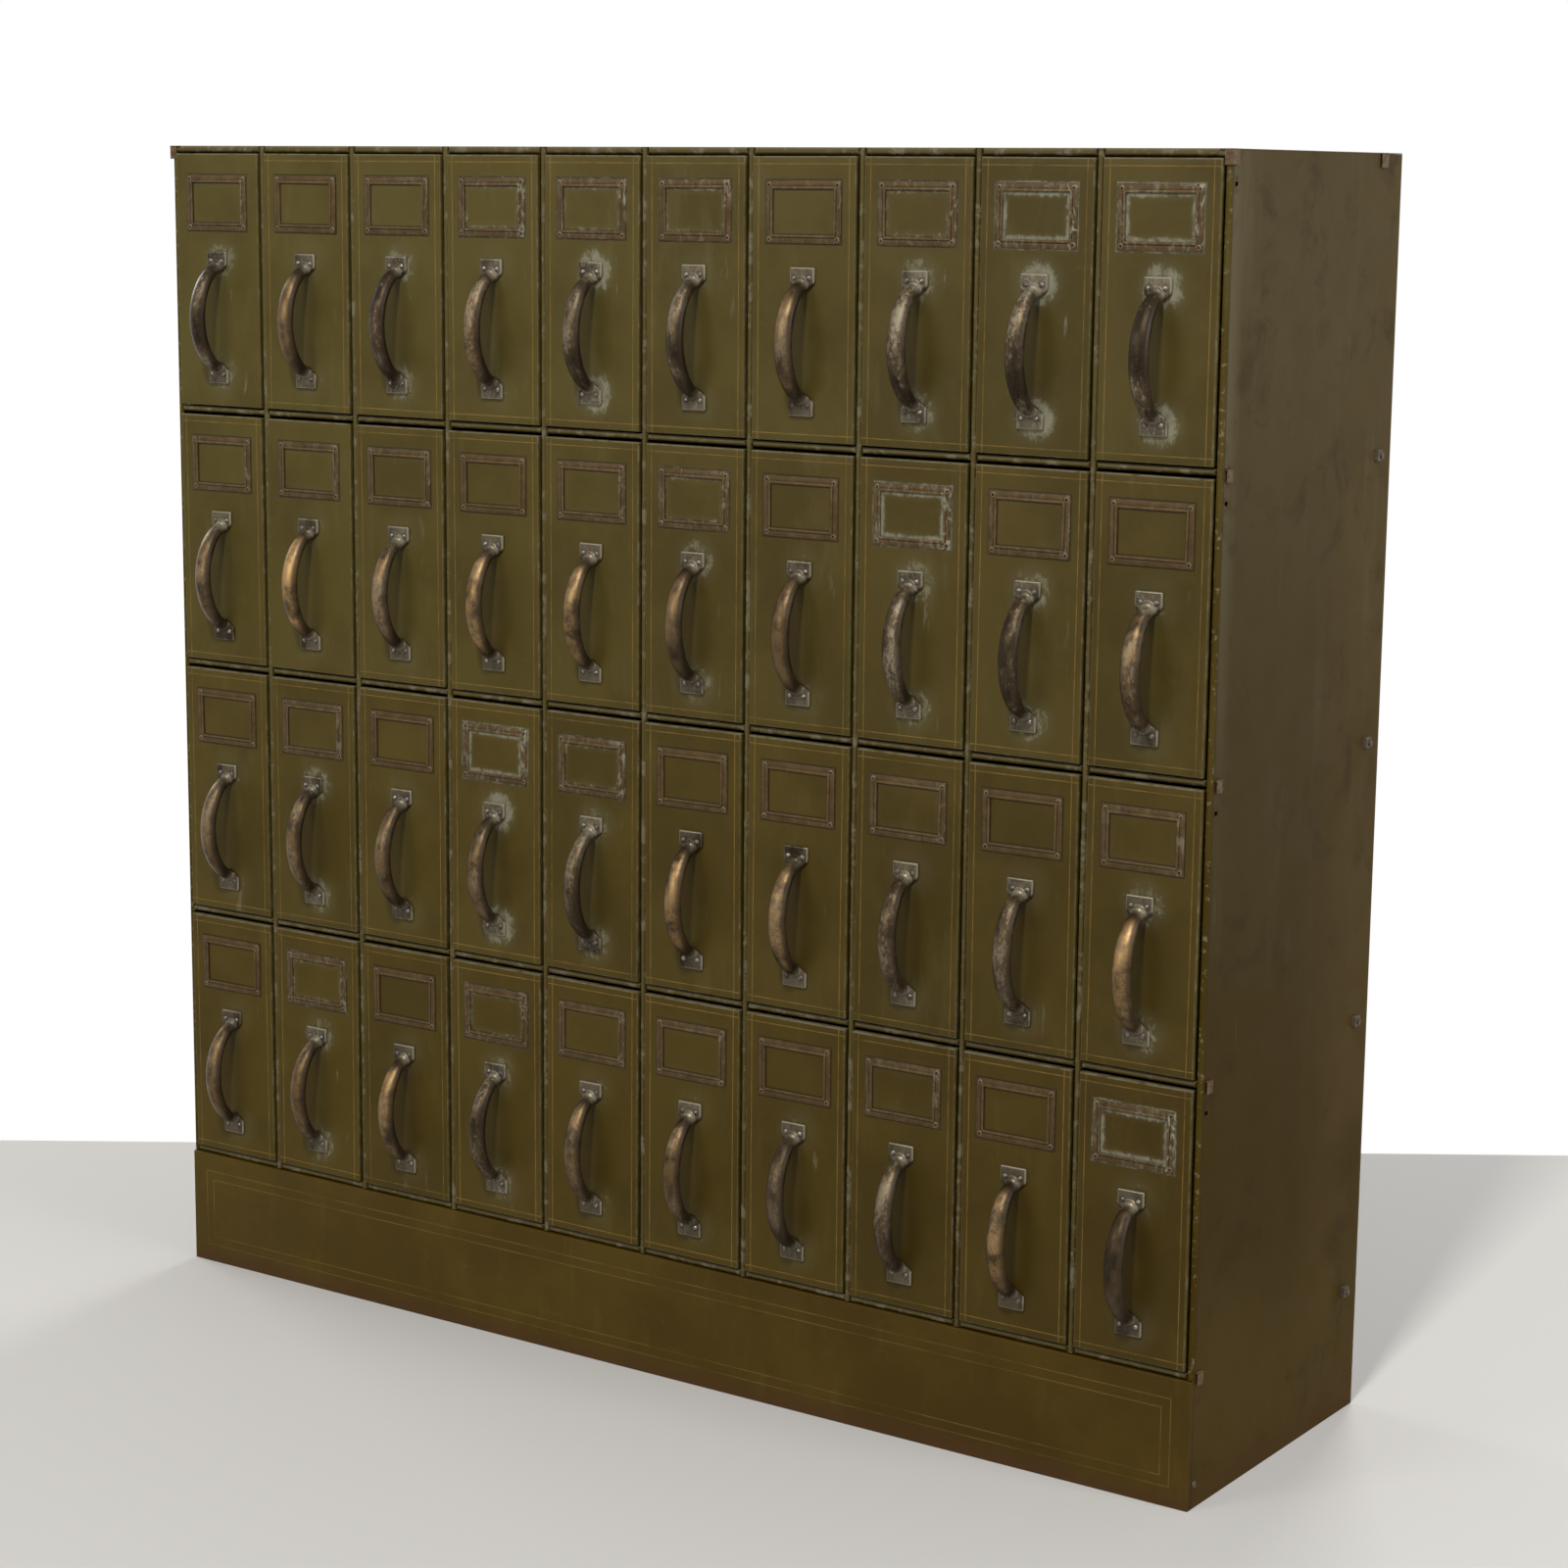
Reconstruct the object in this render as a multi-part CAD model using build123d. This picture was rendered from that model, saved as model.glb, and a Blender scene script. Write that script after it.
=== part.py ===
from build123d import *
import os
from math import cos, pi, sin

# A sheet steel document cabinet: a case of folded sheets on a plinth, tied together by rods,
# with a grid of tall narrow drawers that slide out towards -Y.
# Millimetres. +Z is up, +X is to the right of someone facing the drawers.
# The origin is on the floor, at the centre of the footprint that the handles belong to.

# ---- driving dimensions ----
COLUMNS = 10
ROWS = 4
COLUMN_PITCH = 127.0
ROW_PITCH = 279.4
PLINTH_HEIGHT = 130.6
CASE_WIDTH = 1276.0
CASE_DEPTH = 352.0

# ---- case sheets ----
SIDE_SHEET = 1.2
SHELF_SHEET = 1.0
DIVIDER_SHEET = 1.0
BACK_SHEET = 0.8
PLINTH_SHEET = 1.2
SIDE_FLANGE = 14.0
FIT_GAP = 0.2

# ---- rounded front edges of the case sheets ----
BEAD_HEIGHT = 5.8
BEAD_DEPTH = 3.6
BEAD_ROUND = 2.7
TOP_BEAD_HEIGHT = 7.0
TOP_RISE = 2.4
DIVIDER_BEAD_WIDTH = 6.6
DIVIDER_BEAD_DEPTH = 4.0
DIVIDER_PROUD = 0.4
SIDE_BEAD_WIDTH = 5.6
SIDE_BEAD_DEPTH = 4.0
BEAD_END_GAP = 0.3

# ---- shelves and dividers halve into each other ----
SHELF_DEPTH = 340.0
DIVIDER_DEPTH = 340.0
HALVING_OVERLAP = 1.0
HALVING_GAP = 0.2

# ---- tabs bent over the outside of the case, and the small punched holes below them ----
TAB_WIDTH = 10.0
TAB_HEIGHT = 12.0
TAB_STANDOFF = 1.8
TAB_SETBACK = 7.0
TAB_SLOT_GAP = 0.3
TOP_TAB_WIDTH = 14.0
TOP_TAB_HEIGHT = 14.0
TOP_REAR_TAB_SETBACK = 303.0
CORNER_TAB_LAP = 6.0
CORNER_TAB_WIDTH = 11.0
PUNCHED_WIDTH = 6.0
PUNCHED_HEIGHT = 4.0
PUNCHED_DROP = 30.0
PUNCHED_SETBACK = 8.0

# ---- tie rods ----
ROD_RADIUS = 3.0
ROD_SETBACK = 321.0
ROD_DROP = 3.4
ROD_HOLE_GAP = 0.3
ROD_END = 2.0
NUT_ACROSS = 10.0
NUT_THICKNESS = 5.0
NUT_CHAMFER = 0.8
NUT_THREAD_GAP = 0.1

# ---- plinth ----
PLINTH_PROUD = 2.0
PLINTH_RETURN = 24.0
PLINTH_TOP_GAP = 1.2
PLINTH_CORNER_ROUND = 1.0
PLINTH_SCREW_HEIGHT = 23.6
PLINTH_SCREW_SETBACK = 10.0

# ---- screws of the plinth ----
CASE_SCREW_RADIUS = 1.9
CASE_SCREW_HOLE_GAP = 0.1
CASE_SCREW_HEAD_RADIUS = 3.4
CASE_SCREW_HEAD = 1.6
CASE_SCREW_HEAD_ROUND = 1.2
CASE_SCREW_LENGTH = 8.0

# ---- drawer front: a shallow pan, open to the rear ----
DRAWER_SHEET = 1.0
DRAWER_PROUD = 3.0
DRAWER_SIDE_GAP = 1.1
DRAWER_BOTTOM_GAP = 1.9
DRAWER_TOP_GAP = 2.9
PAN_DEPTH = 12.0
PAN_EDGE_ROUND = 0.9

# ---- drawer tray ----
TRAY_SHEET = 0.8
TRAY_GAP = 0.1
TRAY_LENGTH = 336.0
TRAY_HEIGHT = 248.0
GLIDE_WIDTH = 10.0
GLIDE_INSET = 8.0
GLIDE_START = 2.0
GLIDE_CHAMFER = 0.6
GLIDE_CLEARANCE = 0.3
TRAY_BACK_INSET = 1.0
TRAY_BACK_DROP = 1.0

# ---- label holder ----
HOLDER_WIDTH = 86.0
HOLDER_HEIGHT = 59.0
HOLDER_STRIP = 8.2
HOLDER_THICKNESS = 1.8
LABEL_SLOT = 0.8
LABEL_EDGE = 1.5
HOLDER_DROP = 22.5
HOLDER_OUTER_ROUND = 1.0
PIN_RADIUS = 1.6
PIN_HEAD = 1.0
PIN_DOME = 0.9
PIN_HOLE_GAP = 0.1

# ---- bow handle ----
HANDLE_HEIGHT = 141.0
HANDLE_DROP = 103.5
BOW_STANDOFF = 34.0
BOW_FLATNESS = 1.2
BOW_END_STEP = 0.001
BOW_MIDDLE_WIDTH = 18.5
BOW_MIDDLE_THICKNESS = 11.0
BOW_END_WIDTH = 11.0
BOW_END_THICKNESS = 10.0
BOW_INSET = 17.0
BOW_SECTIONS = 9
FOOT_WIDTH = 28.0
FOOT_SHOULDER = 14.0
FOOT_HEIGHT = 21.6
FOOT_NECK_WIDTH = 12.4
FOOT_THICKNESS = 3.2
FOOT_CHAMFER = 1.0
HANDLE_SCREW_SPACING = 16.5
HANDLE_SCREW_MARGIN = 10.0
HANDLE_SCREW_RADIUS = 2.6
HANDLE_SCREW_HEAD = 1.7
HANDLE_SCREW_DOME = 1.5
HANDLE_SCREW_GAP = 0.1
SEAT_GAP = 0.05

# ---- how far a cutting shape runs past what it cuts, and the two sides of the case ----
PAST = 1.0
LEFT, RIGHT = -1, 1

# ---- worked out from the above ----
HANDLE_REACH = DRAWER_PROUD + BOW_STANDOFF + BOW_MIDDLE_THICKNESS / 2
FRONT = HANDLE_REACH - (HANDLE_REACH + CASE_DEPTH) / 2
BACK = FRONT + CASE_DEPTH
SIDE_FACE = CASE_WIDTH / 2
SIDE_INSIDE = SIDE_FACE - SIDE_SHEET
TOP = PLINTH_HEIGHT + ROWS * ROW_PITCH + TOP_RISE
DRAWER_WIDTH = COLUMN_PITCH - DIVIDER_BEAD_WIDTH - 2 * DRAWER_SIDE_GAP
DRAWER_FACE = FRONT - DRAWER_PROUD
DRAWER_BASE = BEAD_HEIGHT / 2 + DRAWER_BOTTOM_GAP
DRAWER_HEIGHT = ROW_PITCH - BEAD_HEIGHT - DRAWER_BOTTOM_GAP - DRAWER_TOP_GAP
PLINTH_TOP = PLINTH_HEIGHT - BEAD_HEIGHT / 2 - PLINTH_TOP_GAP
HALVING = FRONT + SHELF_DEPTH / 2
ROD_Y = FRONT + ROD_SETBACK
TRAY_HALF = DRAWER_WIDTH / 2 - DRAWER_SHEET - TRAY_GAP
TRAY_START = DRAWER_FACE + DRAWER_SHEET + TRAY_GAP
TRAY_BASE = DRAWER_BASE + DRAWER_SHEET + TRAY_GAP
HOLDER_TOP = DRAWER_BASE + DRAWER_HEIGHT - HOLDER_DROP
HANDLE_MIDDLE = DRAWER_BASE + DRAWER_HEIGHT - HANDLE_DROP - HANDLE_HEIGHT / 2
BOW_HALF = HANDLE_HEIGHT / 2 - BOW_INSET


# ---- helpers ----
def block(x0, x1, y0, y1, z0, z1):
    """A box between two corners."""
    size = Box(x1 - x0, y1 - y0, z1 - z0)
    return Pos((x0 + x1) / 2, (y0 + y1) / 2, (z0 + z1) / 2) * size


def rod_along_x(x0, x1, y, z, radius):
    """A round bar parallel to X."""
    return Pos((x0 + x1) / 2, y, z) * Rot(0, 90, 0) * Cylinder(radius, x1 - x0)


def rod_along_y(x, y0, y1, z, radius):
    """A round bar parallel to Y."""
    return Pos(x, (y0 + y1) / 2, z) * Rot(90, 0, 0) * Cylinder(radius, y1 - y0)


def mirrored(shape, side):
    """The shape as drawn for the right of the case, or its mirror image for the left."""
    return shape if side > 0 else mirror(shape, Plane.YZ)


def column_x(column):
    """The middle of a column, where column 1 is at the left."""
    return (column - (COLUMNS + 1) / 2) * COLUMN_PITCH


def divider_x(number):
    """The middle of the divider to the right of column number."""
    return (number - COLUMNS / 2) * COLUMN_PITCH


def line_z(row):
    """The middle of the rounded edge below a row, where row 1 is at the top. Row 0 is the top edge."""
    return PLINTH_HEIGHT + (ROWS - row) * ROW_PITCH


def save(node, solids):
    """Writes one node: a solid, or separate solids that share it."""
    shape = solids[0] if len(solids) == 1 else Compound(children=solids)
    shape.label = node
    export_step(shape, f"parts/{node}.step")


# ---- case ----
def rounded_rail(x0, x1, z0, z1):
    """One column's length of rounded sheet edge, with rounded ends."""
    rail = block(x0, x1, FRONT, FRONT + BEAD_DEPTH, z0, z1)
    front_edges = rail.faces().sort_by(Axis.Y)[0].edges()
    return fillet(front_edges, BEAD_ROUND)


def level_sheet(top, bead, edge, rail_end, rear):
    """A sheet across the case whose front edge is rounded over, as high as bead, between the dividers."""
    base = top - bead
    sheet = block(-edge, edge, FRONT + BEAD_DEPTH / 2, rear, top - SHELF_SHEET, top)
    half_bead = DIVIDER_BEAD_WIDTH / 2 + BEAD_END_GAP
    for number in range(1, COLUMNS):
        x = divider_x(number)
        sheet -= block(x - half_bead, x + half_bead, FRONT, FRONT + DIVIDER_BEAD_DEPTH + FIT_GAP, base, top)
    if rail_end < edge:
        corner = block(rail_end, edge, FRONT, FRONT + SIDE_BEAD_DEPTH + FIT_GAP, base, top)
        sheet -= corner
        sheet -= mirrored(corner, LEFT)
    for column in range(1, COLUMNS + 1):
        left = -rail_end if column == 1 else divider_x(column - 1) + half_bead
        right = rail_end if column == COLUMNS else divider_x(column) - half_bead
        sheet += rounded_rail(left, right, base, top)
    return sheet


def outside_tab(y0, y1, top, height):
    """A strip that runs out past the right side of the case and is bent down outside it."""
    outside = SIDE_FACE + TAB_STANDOFF
    strip = block(SIDE_INSIDE - TAB_WIDTH, outside + SHELF_SHEET, y0, y1, top - SHELF_SHEET, top)
    return strip + block(outside, outside + SHELF_SHEET, y0, y1, top - height, top)


def shelf(row):
    """The sheet below a row of drawers, halved to take the dividers."""
    z = line_z(row)
    top = z + BEAD_HEIGHT / 2
    rail_end = SIDE_FACE - SIDE_BEAD_WIDTH - BEAD_END_GAP
    sheet = level_sheet(top, BEAD_HEIGHT, SIDE_INSIDE - FIT_GAP, rail_end, FRONT + SHELF_DEPTH)
    half_slot = DIVIDER_SHEET / 2 + HALVING_GAP
    for number in range(1, COLUMNS):
        x = divider_x(number)
        sheet -= block(x - half_slot, x + half_slot, FRONT, HALVING + HALVING_OVERLAP,
                       z - BEAD_HEIGHT, z + BEAD_HEIGHT)
    y0 = FRONT + TAB_SETBACK
    tab = outside_tab(y0, y0 + TAB_WIDTH, top, TAB_HEIGHT)
    return sheet + tab + mirrored(tab, LEFT)


def top_panel():
    """The top sheet. It lies on the sides, with two tabs over each. The front ones lap round the corners."""
    sheet = level_sheet(TOP, TOP_BEAD_HEIGHT, SIDE_FACE, SIDE_FACE, BACK)
    y0, rear = FRONT - FIT_GAP - SHELF_SHEET, FRONT + TOP_REAR_TAB_SETBACK
    tabs = outside_tab(y0, FRONT + CORNER_TAB_WIDTH, TOP, TOP_TAB_HEIGHT)
    tabs += block(SIDE_FACE - CORNER_TAB_LAP, SIDE_FACE + TAB_STANDOFF + SHELF_SHEET, y0, y0 + SHELF_SHEET,
                  TOP - TOP_TAB_HEIGHT, TOP)
    tabs += outside_tab(rear, rear + TOP_TAB_WIDTH, TOP, TOP_TAB_HEIGHT)
    return sheet + tabs + mirrored(tabs, LEFT)


def rounded_post(x, width, y0, depth, z0, z1, radius):
    """An upright strip whose front is rounded."""
    post = block(x - width / 2, x + width / 2, y0, y0 + depth, z0, z1)
    uprights = post.edges().filter_by(Axis.Z).group_by(Axis.Y)[0]
    return fillet(uprights, radius)


def divider(number):
    """An upright sheet between two columns, with a rounded front edge, halved to take the shelves."""
    x = divider_x(number)
    x0, x1 = x - DIVIDER_SHEET, x + DIVIDER_SHEET
    foot = line_z(ROWS) - BEAD_HEIGHT / 2
    rear = FRONT + DIVIDER_DEPTH
    sheet = block(x - DIVIDER_SHEET / 2, x + DIVIDER_SHEET / 2, FRONT + DIVIDER_BEAD_DEPTH / 2, rear,
                  foot, TOP - SHELF_SHEET - FIT_GAP)
    sheet += rounded_post(x, DIVIDER_BEAD_WIDTH, FRONT - DIVIDER_PROUD,
                          DIVIDER_BEAD_DEPTH + DIVIDER_PROUD, foot, TOP, BEAD_ROUND)
    hole = ROD_RADIUS + ROD_HOLE_GAP
    for row in range(1, ROWS + 1):
        shelf_top = line_z(row) + BEAD_HEIGHT / 2
        sheet -= block(x0, x1, HALVING - HALVING_OVERLAP, rear + PAST,
                       shelf_top - SHELF_SHEET - HALVING_GAP, shelf_top + HALVING_GAP)
        sheet -= rod_along_x(x0, x1, ROD_Y, line_z(row) - ROD_DROP, hole)
    under_shelf = line_z(ROWS) + BEAD_HEIGHT / 2 - SHELF_SHEET
    return sheet - block(x0, x1, ROD_Y - hole, rear + PAST, foot - PAST, under_shelf)


def side_holes():
    """What is punched out of the right side."""
    x0, x1 = SIDE_INSIDE - PAST, SIDE_FACE + PAST
    y, slot = FRONT + PUNCHED_SETBACK, FRONT + TAB_SETBACK - TAB_SLOT_GAP
    holes = []
    for row in range(1, ROWS + 1):
        shelf_top = line_z(row) + BEAD_HEIGHT / 2
        holes.append(block(x0, x1, slot, slot + TAB_WIDTH + 2 * TAB_SLOT_GAP,
                           shelf_top - SHELF_SHEET - TAB_SLOT_GAP, shelf_top + TAB_SLOT_GAP))
        holes.append(rod_along_x(x0, x1, ROD_Y, line_z(row) - ROD_DROP, ROD_RADIUS + ROD_HOLE_GAP))
        z = line_z(row - 1) - PUNCHED_DROP
        holes.append(block(x0, x1, y, y + PUNCHED_WIDTH, z, z + PUNCHED_HEIGHT))
    holes.append(rod_along_x(x0, x1, FRONT + PLINTH_SCREW_SETBACK, PLINTH_SCREW_HEIGHT,
                             CASE_SCREW_RADIUS + CASE_SCREW_HOLE_GAP))
    return holes


def side_panel(side):
    """A side of the case: rounded at its front edge, flanged inwards at the rear and at the floor."""
    rear = BACK - BACK_SHEET - FIT_GAP
    inner = SIDE_FACE - SIDE_FLANGE
    top = TOP - SHELF_SHEET - FIT_GAP
    bead_foot = PLINTH_HEIGHT - BEAD_HEIGHT / 2
    plinth_rear = FRONT - PLINTH_PROUD + PLINTH_SHEET + FIT_GAP
    sheet = block(SIDE_INSIDE, SIDE_FACE, FRONT + SIDE_BEAD_DEPTH / 2, rear, 0, top)
    sheet += block(SIDE_INSIDE, SIDE_FACE, plinth_rear, FRONT + SIDE_BEAD_DEPTH, 0, PLINTH_TOP)
    sheet += block(inner, SIDE_FACE, rear - SIDE_SHEET, rear, 0, top)
    sheet += block(inner, SIDE_FACE, FRONT + PLINTH_RETURN + FIT_GAP, rear, 0, SIDE_SHEET)
    sheet += rounded_post(SIDE_FACE - SIDE_BEAD_WIDTH / 2, SIDE_BEAD_WIDTH, FRONT, SIDE_BEAD_DEPTH,
                          bead_foot, TOP - TOP_BEAD_HEIGHT - BEAD_END_GAP, BEAD_ROUND)
    sheet -= block(SIDE_INSIDE - PAST, SIDE_FACE + PAST, FRONT, FRONT + BEAD_DEPTH + FIT_GAP,
                   TOP - TOP_BEAD_HEIGHT - BEAD_END_GAP, TOP)
    for hole in side_holes():
        sheet -= hole
    return mirrored(sheet, side)


def back_panel():
    """The back sheet, over the sides' rear flanges and under the top sheet's rear edge."""
    return block(-SIDE_FACE, SIDE_FACE, BACK - BACK_SHEET, BACK, 0, TOP - SHELF_SHEET - FIT_GAP)


def plinth_front():
    """The plate below the drawers, whose four edges are turned back inside the case."""
    edge = SIDE_INSIDE - FIT_GAP
    face, rear = FRONT - PLINTH_PROUD, FRONT + PLINTH_RETURN
    plate = block(-edge, edge, face, rear, 0, PLINTH_TOP)
    plate -= block(-edge + PLINTH_SHEET, edge - PLINTH_SHEET, face + PLINTH_SHEET, rear + PAST,
                   PLINTH_SHEET, PLINTH_TOP - PLINTH_SHEET)
    plate += block(-SIDE_FACE, SIDE_FACE, face, face + PLINTH_SHEET, 0, PLINTH_TOP)
    plate = fillet(plate.faces().sort_by(Axis.Y)[0].edges(), PLINTH_CORNER_ROUND)
    hole = rod_along_x(edge - PLINTH_SHEET - PAST, edge + PAST, FRONT + PLINTH_SCREW_SETBACK,
                       PLINTH_SCREW_HEIGHT, CASE_SCREW_RADIUS + CASE_SCREW_HOLE_GAP)
    return plate - hole - mirrored(hole, LEFT)


def plinth_screws():
    """Round head screws through the sides into the plinth's returns."""
    x = SIDE_FACE + FIT_GAP / 2
    y, z = FRONT + PLINTH_SCREW_SETBACK, PLINTH_SCREW_HEIGHT
    head = rod_along_x(x, x + CASE_SCREW_HEAD, y, z, CASE_SCREW_HEAD_RADIUS)
    head = fillet(head.edges().filter_by(GeomType.CIRCLE).sort_by(Axis.X)[-1], CASE_SCREW_HEAD_ROUND)
    screw = head + rod_along_x(x - CASE_SCREW_LENGTH, x, y, z, CASE_SCREW_RADIUS)
    return [screw, mirrored(screw, LEFT)]


def square_nut(z):
    """A square nut on the right end of a tie rod."""
    x = SIDE_FACE + FIT_GAP / 2
    half = NUT_ACROSS / 2
    nut = block(x, x + NUT_THICKNESS, ROD_Y - half, ROD_Y + half, z - half, z + half)
    nut = chamfer(nut.faces().sort_by(Axis.X)[-1].edges(), NUT_CHAMFER)
    return nut - rod_along_x(x - PAST, x + NUT_THICKNESS + PAST, ROD_Y, z, ROD_RADIUS + NUT_THREAD_GAP)


def tie_rods():
    """The rods across the case under the shelves' rear edges, each with a square nut at both ends."""
    end = SIDE_FACE + NUT_THICKNESS + ROD_END
    pieces = []
    for row in range(1, ROWS + 1):
        z = line_z(row) - ROD_DROP
        nut = square_nut(z)
        pieces += [rod_along_x(-end, end, ROD_Y, z, ROD_RADIUS), nut, mirrored(nut, LEFT)]
    return pieces


# ---- drawer, drawn with its column at X 0 and the line below its row at Z 0 ----
def domed_pin(x, z, radius, y_out, dome):
    """A pin parallel to Y whose front end is domed. It ends at the rear of the drawer's front sheet."""
    pin = rod_along_y(x, y_out, DRAWER_FACE + DRAWER_SHEET, z, radius)
    return fillet(pin.edges().filter_by(GeomType.CIRCLE).sort_by(Axis.Y)[0], dome)


def holder_pin_places():
    """The corners of the label holder that are pinned."""
    x = (HOLDER_WIDTH - HOLDER_STRIP) / 2
    upper, lower = HOLDER_TOP - HOLDER_STRIP / 2, HOLDER_TOP - HOLDER_HEIGHT + HOLDER_STRIP / 2
    return [(side * x, z) for side in (-1, 1) for z in (upper, lower)]


def handle_screw_places():
    """The two screws in each foot of the handle."""
    x, z = HANDLE_SCREW_SPACING / 2, HANDLE_HEIGHT / 2 - HANDLE_SCREW_MARGIN
    return [(side * x, HANDLE_MIDDLE + end * z) for end in (-1, 1) for side in (-1, 1)]


def drawer_front():
    """The drawer's front: a sheet whose four edges are turned back."""
    y0, y1 = DRAWER_FACE, DRAWER_FACE + PAN_DEPTH
    half, top = DRAWER_WIDTH / 2, DRAWER_BASE + DRAWER_HEIGHT
    pan = block(-half, half, y0, y1, DRAWER_BASE, top)
    pan = fillet(pan.faces().sort_by(Axis.Y)[0].edges(), PAN_EDGE_ROUND)
    pan -= block(-half + DRAWER_SHEET, half - DRAWER_SHEET, y0 + DRAWER_SHEET, y1 + PAST,
                 DRAWER_BASE + DRAWER_SHEET, top - DRAWER_SHEET)
    through = y0 - PAST, y0 + DRAWER_SHEET + PAST
    for x, z in holder_pin_places():
        pan -= rod_along_y(x, *through, z, PIN_RADIUS + PIN_HOLE_GAP)
    for x, z in handle_screw_places():
        pan -= rod_along_y(x, *through, z, HANDLE_SCREW_RADIUS + HANDLE_SCREW_GAP)
    return pan


def tray_bottom():
    """The tray's bottom, with two glides pressed out under it."""
    y0, y1 = TRAY_START, TRAY_START + TRAY_LENGTH
    sheet = block(-TRAY_HALF, TRAY_HALF, y0, y1, TRAY_BASE, TRAY_BASE + TRAY_SHEET)
    outer = TRAY_HALF - GLIDE_INSET
    glide = block(outer - GLIDE_WIDTH, outer, DRAWER_FACE + PAN_DEPTH + GLIDE_START, y1,
                  BEAD_HEIGHT / 2 + GLIDE_CLEARANCE, TRAY_BASE + TRAY_SHEET / 2)
    glide = chamfer(glide.faces().sort_by(Axis.Z)[0].edges(), GLIDE_CHAMFER)
    return sheet + glide + mirrored(glide, LEFT)


def tray_side(side):
    """One side of the tray, on the edge of its bottom."""
    wall = block(TRAY_HALF - TRAY_SHEET, TRAY_HALF, TRAY_START, TRAY_START + TRAY_LENGTH,
                 TRAY_BASE + TRAY_SHEET + TRAY_GAP, TRAY_BASE + TRAY_HEIGHT)
    return mirrored(wall, side)


def tray_back():
    """The sheet that closes the rear of the tray."""
    half = TRAY_HALF - TRAY_SHEET - TRAY_GAP
    y1 = TRAY_START + TRAY_LENGTH - TRAY_BACK_INSET
    return block(-half, half, y1 - TRAY_SHEET, y1, TRAY_BASE + TRAY_SHEET + TRAY_GAP,
                 TRAY_BASE + TRAY_HEIGHT - TRAY_BACK_DROP)


def label_holder():
    """The frame around a paper label, recessed behind its top strip so that the label slides in."""
    half, base = HOLDER_WIDTH / 2, HOLDER_TOP - HOLDER_HEIGHT
    y1 = DRAWER_FACE - SEAT_GAP
    y0 = y1 - HOLDER_THICKNESS
    frame = block(-half, half, y0, y1, base, HOLDER_TOP)
    frame = fillet(frame.edges().filter_by(Axis.Y), HOLDER_OUTER_ROUND)
    window, sill = half - HOLDER_STRIP, base + HOLDER_STRIP
    frame -= block(-window, window, y0 - PAST, y1 + PAST, sill, HOLDER_TOP - HOLDER_STRIP)
    slot = window + LABEL_EDGE
    frame -= block(-slot, slot, y1 - LABEL_SLOT, y1 + PAST, sill - LABEL_EDGE, HOLDER_TOP + PAST)
    for x, z in holder_pin_places():
        frame -= rod_along_y(x, y0 - PAST, y1 + PAST, z, PIN_RADIUS + PIN_HOLE_GAP)
    return frame


def bow_place(turn):
    """The (Y, Z) of the bow's middle line, where turn is 0 at the top foot and pi at the bottom one."""
    rise = BOW_STANDOFF * max(0, sin(turn)) ** BOW_FLATNESS
    return DRAWER_FACE - SEAT_GAP - rise, HANDLE_MIDDLE + BOW_HALF * cos(turn)


def bow():
    """The grip, an oval bar that swells towards its middle."""
    sections = []
    for i in range(BOW_SECTIONS):
        turn = pi * i / (BOW_SECTIONS - 1)
        swell = sin(turn)
        width = BOW_END_WIDTH + (BOW_MIDDLE_WIDTH - BOW_END_WIDTH) * swell
        thickness = BOW_END_THICKNESS + (BOW_MIDDLE_THICKNESS - BOW_END_THICKNESS) * swell
        y, z = bow_place(turn)
        y0, z0 = bow_place(max(0, turn - BOW_END_STEP))
        y1, z1 = bow_place(min(pi, turn + BOW_END_STEP))
        plane = Plane(origin=(0, y, z), x_dir=(1, 0, 0), z_dir=(0, y1 - y0, z1 - z0))
        sections.append(plane * Ellipse(width / 2, thickness / 2))
    return loft(sections)


def bottom_foot():
    """The handle's lower plate: straight at its outer end, tapered towards the bow."""
    half, neck = FOOT_WIDTH / 2, FOOT_NECK_WIDTH / 2
    outline = Polyline((-half, 0), (half, 0), (half, FOOT_SHOULDER), (neck, FOOT_HEIGHT),
                       (-neck, FOOT_HEIGHT), (-half, FOOT_SHOULDER), close=True)
    seat = Plane(origin=(0, DRAWER_FACE - SEAT_GAP, HANDLE_MIDDLE - HANDLE_HEIGHT / 2),
                 x_dir=(1, 0, 0), z_dir=(0, -1, 0))
    plate = extrude(seat * make_face(outline), FOOT_THICKNESS)
    return chamfer(plate.faces().sort_by(Axis.Y)[0].edges(), FOOT_CHAMFER)


def handle():
    """The cast handle."""
    foot = bottom_foot()
    cast = bow() + foot + mirror(foot, Plane.XY.offset(HANDLE_MIDDLE))
    for x, z in handle_screw_places():
        cast -= rod_along_y(x, DRAWER_FACE - BOW_STANDOFF, DRAWER_FACE + PAST, z,
                            HANDLE_SCREW_RADIUS + HANDLE_SCREW_GAP)
    return cast


def drawer_pieces():
    """The separate solids of one drawer."""
    pieces = [drawer_front(), tray_bottom(), tray_side(LEFT), tray_side(RIGHT), tray_back()]
    pieces += [label_holder(), handle()]
    pin_front = DRAWER_FACE - SEAT_GAP - HOLDER_THICKNESS - PIN_HEAD
    for x, z in holder_pin_places():
        pieces.append(domed_pin(x, z, PIN_RADIUS, pin_front, PIN_DOME))
    screw_front = DRAWER_FACE - SEAT_GAP - FOOT_THICKNESS - HANDLE_SCREW_HEAD
    for x, z in handle_screw_places():
        pieces.append(domed_pin(x, z, HANDLE_SCREW_RADIUS, screw_front, HANDLE_SCREW_DOME))
    return pieces


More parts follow.
